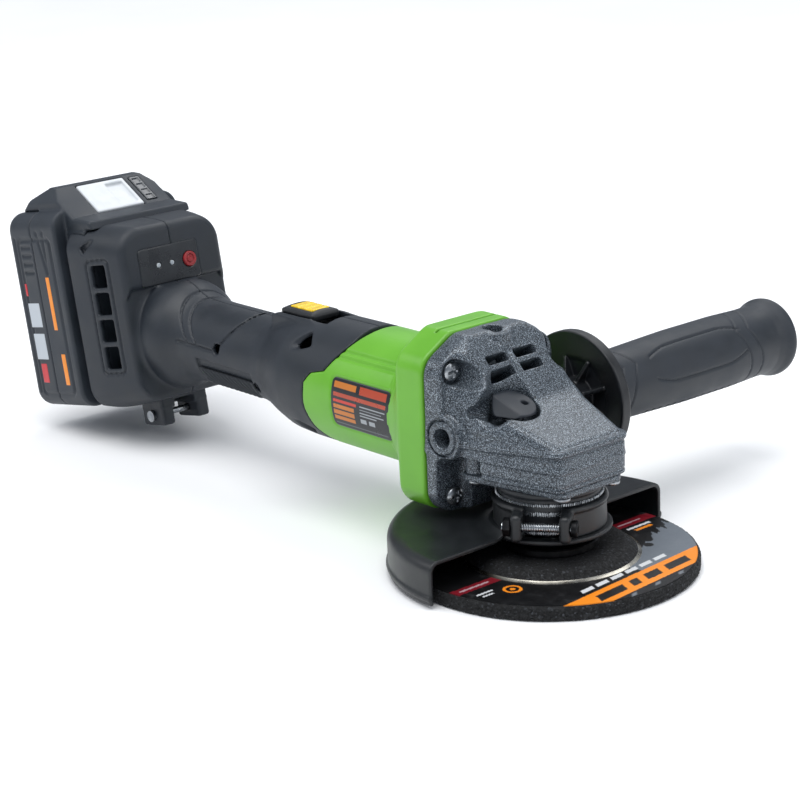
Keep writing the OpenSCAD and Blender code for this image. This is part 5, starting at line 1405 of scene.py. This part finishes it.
pale = (between(lx, 5.4, 6.6) & between(ly, -58, -42)) | (between(lx, 0.2, 1.2) & between(ly, 40, 54))
colours = ink(pale, "#b89aa0", colours)
colours = ink(between(lx, 5.6, 7.2) & between(ly, 40, 54), "#d9dbdd", colours)
colours = ink(between(lx, 8.4, 10.2) & between(ly, 42, 52), "#f58e1b", colours)
fromMark = np.hypot(lx - 19, ly + 41)
colours = ink(between(fromMark, 2.8, 4.0) | (fromMark < 1.2), "#f58e1b", colours)
colours = ink(between(lx, 13.2, 14.4) & between(ly, -56, -47), "#d9dbdd", colours)
colours = ink(between(lx, 16.0, 17.0) & between(ly, -55, -49), "#d9dbdd", colours)
paint(labelPiece, colours)

flangeLowZ, flangeHighZ = corners("inner_flange")[0][2], corners("inner_flange")[1][2]
turned("innerFlangeDisc", [(7.1, hubTop - 2.7), (bore - 0.1, hubTop - 2.7), (bore - 0.1, hubTop + 0.02), (20.1, hubTop + 0.02),
                           (20.5, hubTop + 0.5), (20.5, hubTop + 2.9), (20.0, hubTop + 3.4), (14.6, hubTop + 3.5),
                           (14.0, hubTop + 4.0), (14.0, flangeHighZ - 0.5), (13.5, flangeHighZ), (7.1, flangeHighZ)],
       "inner_flange", sides=128)
nutLow, nutHigh = corners("lock_nut")


def nutField(x, y, z):
    flat = np.sqrt(x * x + y * y)
    body = slab(flat - 21, z, nutLow[2], hubTop - 6, 0.5)
    body = np.minimum(body, slab(flat - bore + 0.1, z, 2, nutHigh[2], 0.3))
    body = carve(body, slab(flat - 12.5, z, -5, nutLow[2] + 0.8), 0.5)
    body = carve(body, flat - 7.05, 0.4)
    for i in range(4):
        c, s = 15.5 * math.cos(math.pi / 4 + i * math.pi / 2), 15.5 * math.sin(math.pi / 4 + i * math.pi / 2)
        body = carve(body, rodShape((x, y, z), (c, s, -5), (c, s, nutLow[2] + 2.1), 2.4), 0.35)
    return body


shaped("lockNutRing", nutField, nutLow - 1, nutHigh + 1, 0.4, "lock_nut", rounds=1, most=32000)

spindleLow, spindleHigh = corners("spindle")
spindleShape = [(2.5, 8), (2.5, 0.3), (2.9, 0), (6.6, 0)] + [(7.0, h) for h in np.arange(0.4, 15.4, 0.25)]
spindleShape += [(9.2, 15.6), (9.2, 17.6), (7.5, 17.7), (7.5, 24), (6.0, 24.1), (6.0, 48.6), (3.95, 48.7),
                 (3.95, spindleHigh[2] - 0.4), (3.6, spindleHigh[2]), (0.02, spindleHigh[2]), (0.02, 8.0)]
turned("spindleShaft", spindleShape, "spindle", sides=72, wobble=lambda radius, height, turn: (
    radius - 0.55 * np.abs(((height / 2.0 + turn / (2 * np.pi)) % 1) * 2 - 1) * between(height, 1.2, 15.0)
    * (radius > 6.5), height + 0 * turn))
print("guard and wheel done")


# ---- side handle ----

grip = dict(length=handleHigh[1] - handleLow[1], start=handleLow[1], rows=280, sides=180)


def handleShape():
    # outline of the moulded grip: it swells to the middle, narrows a little and flares into a thin end lip
    length = grip["length"]
    stops = np.array([(0, 13.4), (1.5, 14.6), (4, 15.2), (26, 16.0), (56, 16.9), (88, 16.9), (length - 18, 16.3),
                      (length - 11, 16.4), (length - 7, 17.2), (length - 4.2, 18.3), (length - 2.6, 18.5),
                      (length - 1.0, 18.1), (length, 16.8)])
    h = np.linspace(0, length, grip["rows"])
    r = np.interp(h, stops[:, 0], stops[:, 1])
    soft = np.hanning(7) / np.hanning(7).sum()
    r[4:-4] = np.convolve(r, soft, mode="same")[4:-4]
    return [(4.1, 24.0), (4.1, 0.0)] + list(zip(r, h)) + [(12.0, length + 0.0), (10.5, length - 0.8), (5.5, length - 1.2), (0.02, length - 1.2),
                                                          (0.02, 24.0)]


def groove(distance, width):
    return np.clip(1 - np.abs(distance) / width, 0, 1)


def handleWobble(radius, height, turn):
    # fine lines: two hoops near each end that dip to a point at the side, and a long panel below
    outer = radius > 12.5
    length = grip["length"]
    side = (np.degrees(turn) + 180) % 360 - 180
    dip = np.abs((side + 45) % 180 - 90) / 90
    depth = 0 * height
    for start, reach in ((6, 1), (14, 1), (length - 30, -1), (length - 22, -1)):
        depth = depth + 0.6 * groove(height - start - reach * 7 * dip ** 2, 0.75)
    for centre in (-60, 120):
        off = np.abs((side - centre + 180) % 360 - 180) * np.pi / 180 * 16
        ends = np.minimum(height - 30, length - 34 - height)
        edge = 8.5 - 0.05 * np.maximum(0, 14 - ends) ** 1.6
        depth = depth + 0.7 * groove(off - edge, 0.8) * (ends > 0)
    under = np.abs((side + 180 - 20) % 360 - 180) * np.pi / 180 * 16
    ribs = (under < 6) & between(height, 26, length - 34)
    depth = depth + 0.5 * ribs * (0.5 + 0.5 * np.sign(np.sin(height * 2 * np.pi / 4.6)))
    return radius - depth * outer, height + 0 * turn


turned("handleGripBody", handleShape(), "handle_grip", sides=grip["sides"], wobble=handleWobble, angle=45,
       place=lambda x, y, h: (handleX + y, grip["start"] + h, axisZ - x))

discLow, discHigh = corners("handle_disc")
discRadius = (discHigh[0] - discLow[0]) / 2


def discField(x, y, z):
    # p: across, up, and along the handle
    u, v = x - handleX, z - axisZ
    flat = np.sqrt(u * u + v * v)
    face = discHigh[1] - 3
    # a dished face, thicker to the rim, with a sunk hub ring crossed by short webs
    swell = np.clip((flat - 16) / (discRadius - 16), 0, 1)
    near = face - 0.6 - 3.6 * swell ** 0.8 * (flat > 16)
    plate = both(both(flat - discRadius, y - face - 1.4, 1.2), near - y, 1.0)
    body = plate
    hub = rodShape((u, v, y), (0, 0, discLow[1]), (0, 0, discHigh[1]), 8.6, 0.8)
    body = blend(body, hub, 0.8)
    for i in range(8):
        t = math.radians(22.5 + 45 * i)
        along, across = u * math.cos(t) + v * math.sin(t), -u * math.sin(t) + v * math.cos(t)
        rib = boxShape((along, across, y + 0 * x), (7, -0.8, face - 6.5), (18, 0.8, face), 0.3)
        rib = np.maximum(rib, face - 6.4 + (along - 8) * 0.42 - y)
        body = blend(body, rib, 0.5)
    return carve(body, flat - 4.1, 0.3)


shaped("handGuardDisc", discField, discLow - 1, discHigh + 1, 0.45, "handle_disc", rounds=2, most=70000)

studLow, studHigh = corners("handle_stud")
turned("handleStudThread", threadProfile(4.0, studLow[1], studHigh[1], 1.25), "handle_stud", sides=40,
       wobble=threadWobble(1.25, 0.5, studLow[1] + 0.4, studLow[1] + 17),
       place=lambda x, y, h: (handleX + x, h, axisZ - y))
print("handle done")


# ---- battery pack, shaped in the foot frame ----

pack = dict(front=-43.0, back=-87.0, split=-65.0, half=38.0, top=67.0, low=-32.0, corner=9.0, wall=2.5)
slopeA, slopeB = np.array([pack["front"] - 11, pack["top"] + 10]), np.array([pack["front"] + 7, pack["top"] - 4.7])
slopeDirection = unit(slopeB - slopeA)
slopeOut = np.array([-slopeDirection[1], slopeDirection[0]])


def packOuter(n, y, u, front, back):
    p = pack
    r = p["corner"]
    qy = np.abs(y) - p["half"] + r
    qu = np.abs(u - (p["top"] + p["low"]) / 2) - (p["top"] - p["low"]) / 2 + r
    flat = np.sqrt(np.maximum(qy, 0) ** 2 + np.maximum(qu, 0) ** 2) + np.minimum(np.maximum(qy, qu), 0) - r
    return slab(flat, n, back, front, 5.0 if back < p["split"] - 5 else 1.6)


def sideRelief(n, y, u, body):
    # raised side panel inside a shallow groove, with four short ribs and a V below them
    p = pack
    side = np.abs(y)
    panel = outline(n, u, [(p["back"] + 12, p["low"] + 10), (p["front"] - 9, p["low"] + 10), (p["front"] - 9, p["top"] - 16),
                           (p["back"] + 12, p["top"] - 16)], 3.0)
    near = p["half"] - 0.8 - side
    body = carve(body, np.maximum(np.abs(panel) - 0.8, near), 0.3)
    for i in range(4):
        body = carve(body, boxShape((n, side, u), (-76, p["half"] - 0.9, 37 + 4.2 * i), (-67, 60, 38.4 + 4.2 * i), 0.5), 0.2)
    for s in (-1, 1):
        vee = rodShape((n, side, u), (-55, p["half"], 36), (-57 + 3 * s, p["half"], 58), 0.8)
        body = carve(body, vee, 0.4)
    return carve(body, boxShape((n, side, u), (p["back"] + 5.5, p["half"] - 0.8, p["low"] + 8),
                                (p["back"] + 7.0, 60, p["top"] - 12), 0.5), 0.4)


def packCoverField(n, y, u):
    p = pack
    outer = packOuter(n, y, u, p["split"] + 6, p["back"])
    inner = packOuter(n, y, u, p["split"] + 20, p["back"]) + p["wall"]
    body = np.maximum(outer, -inner)
    body = sideRelief(n, y, u, body)
    # rear face: sunk panel with upright ribs
    rearPanel = boxShape((n, y, u), (p["back"] - 3, -26, p["low"] + 14), (p["back"] + 0.8, 26, p["top"] - 14), 0.6)
    body = carve(body, rearPanel, 0.5)
    for i in range(-3, 4):
        rib = boxShape((n, y, u), (p["back"] + 0.1, i * 6.5 - 1, p["low"] + 22), (p["back"] + 2, i * 6.5 + 1, p["top"] - 22), 0.4)
        body = np.minimum(body, rib)
    return both(body, n - p["split"] + 0.1, 0.4)


def latchOutlineField(n, u):
    f, t = pack["front"], pack["top"]
    points = [(f - 38, t + 0.1), (f - 30, t + 6), (f - 16, t + 11), tuple(slopeA), tuple(slopeB), (f + 20.4, t - 7.0),
              (f + 21.6, t - 11), (f - 1, t - 11), (pack["split"], t - 5), (pack["split"], t + 0.1)]
    return outline(n, u, points)


def slopePlace(n, u):
    # along the slope and out of it, from its upper end
    a, b = n - slopeA[0], u - slopeA[1]
    return a * slopeDirection[0] + b * slopeDirection[1], a * slopeOut[0] + b * slopeOut[1]


slopeLength = float(np.linalg.norm(slopeB - slopeA))
stageHalf, stageFront = 30.6, -27.0


def packCaseField(n, y, u):
    p = pack
    outer = packOuter(n, y, u, p["front"], p["split"] - 4.9)
    inner = packOuter(n, y, u, p["front"] - p["wall"], p["split"] - 20) + 0 * n
    body = np.maximum(outer, -(packOuter(n, y, u, p["front"], p["split"] - 30) + p["wall"]))
    body = sideRelief(n, y, u, body)
    body = both(body, p["split"] + 0.1 - n, 0.4)
    stage = boxShape((n, y, u), (p["front"] - 3, -stageHalf, -22.5), (stageFront, stageHalf, 56.4), 1.2)
    latch = slab(latchOutlineField(n, u) + 1.2, y, 9 - p["half"], p["half"] - 9, 0.2) - 1.2
    # shoulders of the latch block slope down to the casing
    latch = np.maximum(latch, (np.abs(y) - p["half"] + 7) * 0.8 + (u - p["top"] - 3) * 0.6 * (n < p["front"] + 6))
    body = blend(body, latch, 1.6)
    body = np.minimum(body, stage)
    body = np.maximum(body, -boxShape((n, y, u), (p["front"] - p["wall"] - 3, -23.5, -20), (stageFront - 10.2, 23.5, 38)))
    for e in (-1, 1):
        body = carve(body, boxShape((n, y * e, u), (-35.4, 24.6, -26), (-31.6, 60, 50.4), 0.3), 0.3)
    for py in (-9, 0, 9):
        body = carve(body, boxShape((n, y, u), (stageFront - 10.3, py - 1.2, -26), (stageFront + 2, py + 1.2, 18)), 0.4)
    s, out = slopePlace(n, u)
    pocket = boxShape((s, y, out), (0.5, -14.3, -9), (slopeLength - 0.5, 14.3, 6), 0.8)
    body = carve(body, pocket, 0.4)
    web = p["front"] + 2
    body = carve(body, boxShape((n, y, u), (web - 3, -10.4, 43.6), (web + 3.4, 10.4, p["top"] - 7)), 0.3)
    body = carve(body, boxShape((n, y, u), (web - 3, -10.4, 43.6), (stageFront + 1, 10.4, 53.4)), 0.3)
    bed = boxShape((s, y, out), (1.8, 16.9, -1.6), (slopeLength - 2.8, 23.1, 6), 0.4)
    body = carve(body, bed, 0.3)
    # sunk pad for the thumb behind the button
    return carve(body, boxShape((n, y, u), (p["front"] - 27, -12, p["top"] + 9.6), (p["front"] - 18, 12, 99), 1.0), 0.6)


footFieldPiece("packCoverShell", packCoverField, "pack_cover", (-88.5, -39.5, -33.5), (-63.5, 39.5, 68.5), 0.7,
               rounds=2, most=100000)
footFieldPiece("packCaseShell", packCaseField, "pack_case", (-84, -39.5, -33.5), (-15, 39.5, 80), 0.65,
               rounds=2, most=150000)


def releaseField(n, y, u):
    s, out = slopePlace(n, u)
    body = boxShape((s, y, out), (0.8, -14, -3.4), (slopeLength - 0.8, 14, 0.35), 0.9)
    # thumb hollow on the far half, and a stepped grip line
    hollow = boxShape((s, y, out), (3.6, 1.5, -1.3), (slopeLength - 3.6, 12, 4), 1.0)
    body = carve(body, hollow, 0.7)
    web = pack["front"] + 2
    stem = boxShape((n, y, u), (web, -10, 47), (web + 3, 10, pack["top"] - 8), 0.4)
    hook = boxShape((n, y, u), (web, -10, 47), (-24.5, 10, 53), 0.4)
    hook = np.maximum(hook, (n + 24.5) * 0.5 + (u - 53) * 0.86 + 1.2)
    return np.minimum(body, np.minimum(stem, hook))


def gaugeField(n, y, u):
    s, out = slopePlace(n, u)
    body = boxShape((s, y, out), (2.0, 17.0, -1.5), (slopeLength - 3.0, 23.0, 0.2), 0.3)
    for i in range(4):
        window = boxShape((s, y, out), (3.4 + 4.4 * i, 18.1, -0.35), (6.4 + 4.4 * i, 21.9, 3), 0.3)
        body = carve(body, window, 0.2)
    return body


footFieldPiece("releaseButtonTile", releaseField, "release_button", (-56, -15, 45), (-22, 15, 80), 0.4, most=30000)
footFieldPiece("gaugeWindowLens", gaugeField, "gauge_window", (-56, 16, 58), (-30, 24, 80), 0.28, most=40000)


# ---- plain printed bars on the pack's near side, thin and slightly domed ----

inks = {name: makeFinish(name, dict(colour=tone, second=tone, roughness=0.42, grainMm=0.6, grainDepth=0.01, cloudMm=5))
        for name, tone in (("paleInk", "#b9c0c6"), ("orangeInk", "#f08c1e"), ("redInk", "#c62f36"))}


def packBar(name, n0, n1, u0, u1, tone, lean=0.0):
    # n and u are the bar's edges in the foot frame; lean slides its ends like slanted print
    def barField(n, y, u):
        n = n - lean * (u - (u0 + u1) / 2)
        return boxShape((n, y, u), (n0, -pack["half"] - 0.12, u0), (n1, -pack["half"] + 0.3, u1), 0.25)
    slide = abs(lean) * (u1 - u0) / 2 + 0.6
    obj = footFieldPiece(name, barField, "pack_case" if n0 > pack["split"] else "pack_cover",
                         (n0 - slide, -pack["half"] - 0.8, u0 - 0.6), (n1 + slide, -pack["half"] + 0.8, u1 + 0.6), 0.3,
                         standsFor=False, rounds=1, most=12000)
    obj.data.materials[0] = inks[tone]


packBar("packMarkUpper", -78.5, -68.0, 9.5, 22, "paleInk")
packBar("packMarkLower", -78.5, -68.0, -7.0, 6.5, "paleInk")
packBar("packMarkRed", -76.5, -71.0, -19, -9, "redInk")
packBar("packMarkSmall", -78.5, -76.6, 25.5, 32, "redInk")
packBar("packBarUpper", -58.0, -54.6, 8, 35, "orangeInk")
packBar("packBarLower", -56.0, -52.2, -20, -4, "orangeInk")
print("pack done")


# ---- floor, light and camera ----

studio = dict(azimuth=48.94, elevation=16.94, roll=-2.26, distance=1015.35, lens=103.53,
              target=(-92.17, 0, 52.65), floorSize=6.0, overhead=2.1)


def backOf(azimuth, elevation):
    a, e = math.radians(azimuth), math.radians(elevation)
    return Vector((math.sin(a) * math.cos(e), -math.cos(a) * math.cos(e), math.sin(e)))


target = Vector(studio["target"]) * mm
camera = bpy.data.objects.new("camera", bpy.data.cameras.new("camera"))
camera.data.sensor_width = 36
camera.data.lens = studio["lens"]
camera.location = target + backOf(studio["azimuth"], studio["elevation"]) * studio["distance"] * mm
turn = (camera.location - target).to_track_quat("Z", "Y").to_matrix()
camera.matrix_world = (Matrix.Translation(camera.location)
                       @ (turn @ Matrix.Rotation(math.radians(studio["roll"]), 3, "Z")).to_4x4())
bpy.context.scene.collection.objects.link(camera)
bpy.context.scene.camera = camera


def softBox(name, azimuth, elevation, distance, size, power, colour="#ffffff"):
    lamp = bpy.data.lights.new(name, "AREA")
    lamp.shape = "RECTANGLE"
    lamp.size, lamp.size_y = size
    lamp.energy = power
    lamp.color = linear(colour)[:3]
    obj = bpy.data.objects.new(name, lamp)
    obj.location = target + backOf(azimuth, elevation) * distance
    obj.rotation_mode = "QUATERNION"
    obj.rotation_quaternion = (obj.location - target).to_track_quat("Z", "Y")
    bpy.context.scene.collection.objects.link(obj)


softBox("backBox", 205, 48, 1.3, (1.2, 0.5), 5)
softBox("leftBox", -40, 35, 1.2, (0.9, 0.4), 2.2)
softBox("rightBox", 120, 30, 1.2, (0.4, 0.8), 2.5)
skyLamp = bpy.data.lights.new("overheadSun", "SUN")
skyLamp.energy = studio["overhead"]
skyLamp.angle = math.radians(50)
sky = bpy.data.objects.new("overheadSun", skyLamp)
sky.rotation_mode = "QUATERNION"
sky.rotation_quaternion = backOf(20, 74).to_track_quat("Z", "Y")
bpy.context.scene.collection.objects.link(sky)

world = bpy.data.worlds.new("paleRoom")
world.use_nodes = True
background = next(n for n in world.node_tree.nodes if n.type == "BACKGROUND")
background.inputs["Color"].default_value = linear("#e8f1ff")
background.inputs["Strength"].default_value = 0.42
bpy.context.scene.world = world

floorMesh = bpy.data.meshes.new("floor")
half = studio["floorSize"] / 2
level = cadBox[0][2] - 0.0002
floorMesh.from_pydata([(-half, -half, level), (half, -half, level), (half, half, level), (-half, half, level)],
                      [], [(0, 1, 2, 3)])
floorFinish = makeFinish("paleFloor", dict(colour="#fbfbfb", second="#ffffff", roughness=0.9, grainMm=8,
                                           grainDepth=0.02, cloudMm=300))
floorMesh.materials.append(floorFinish)
floor = bpy.data.objects.new("floor", floorMesh)
bpy.context.scene.collection.objects.link(floor)
bpy.context.scene.view_settings.view_transform = "Standard"

print("finished")
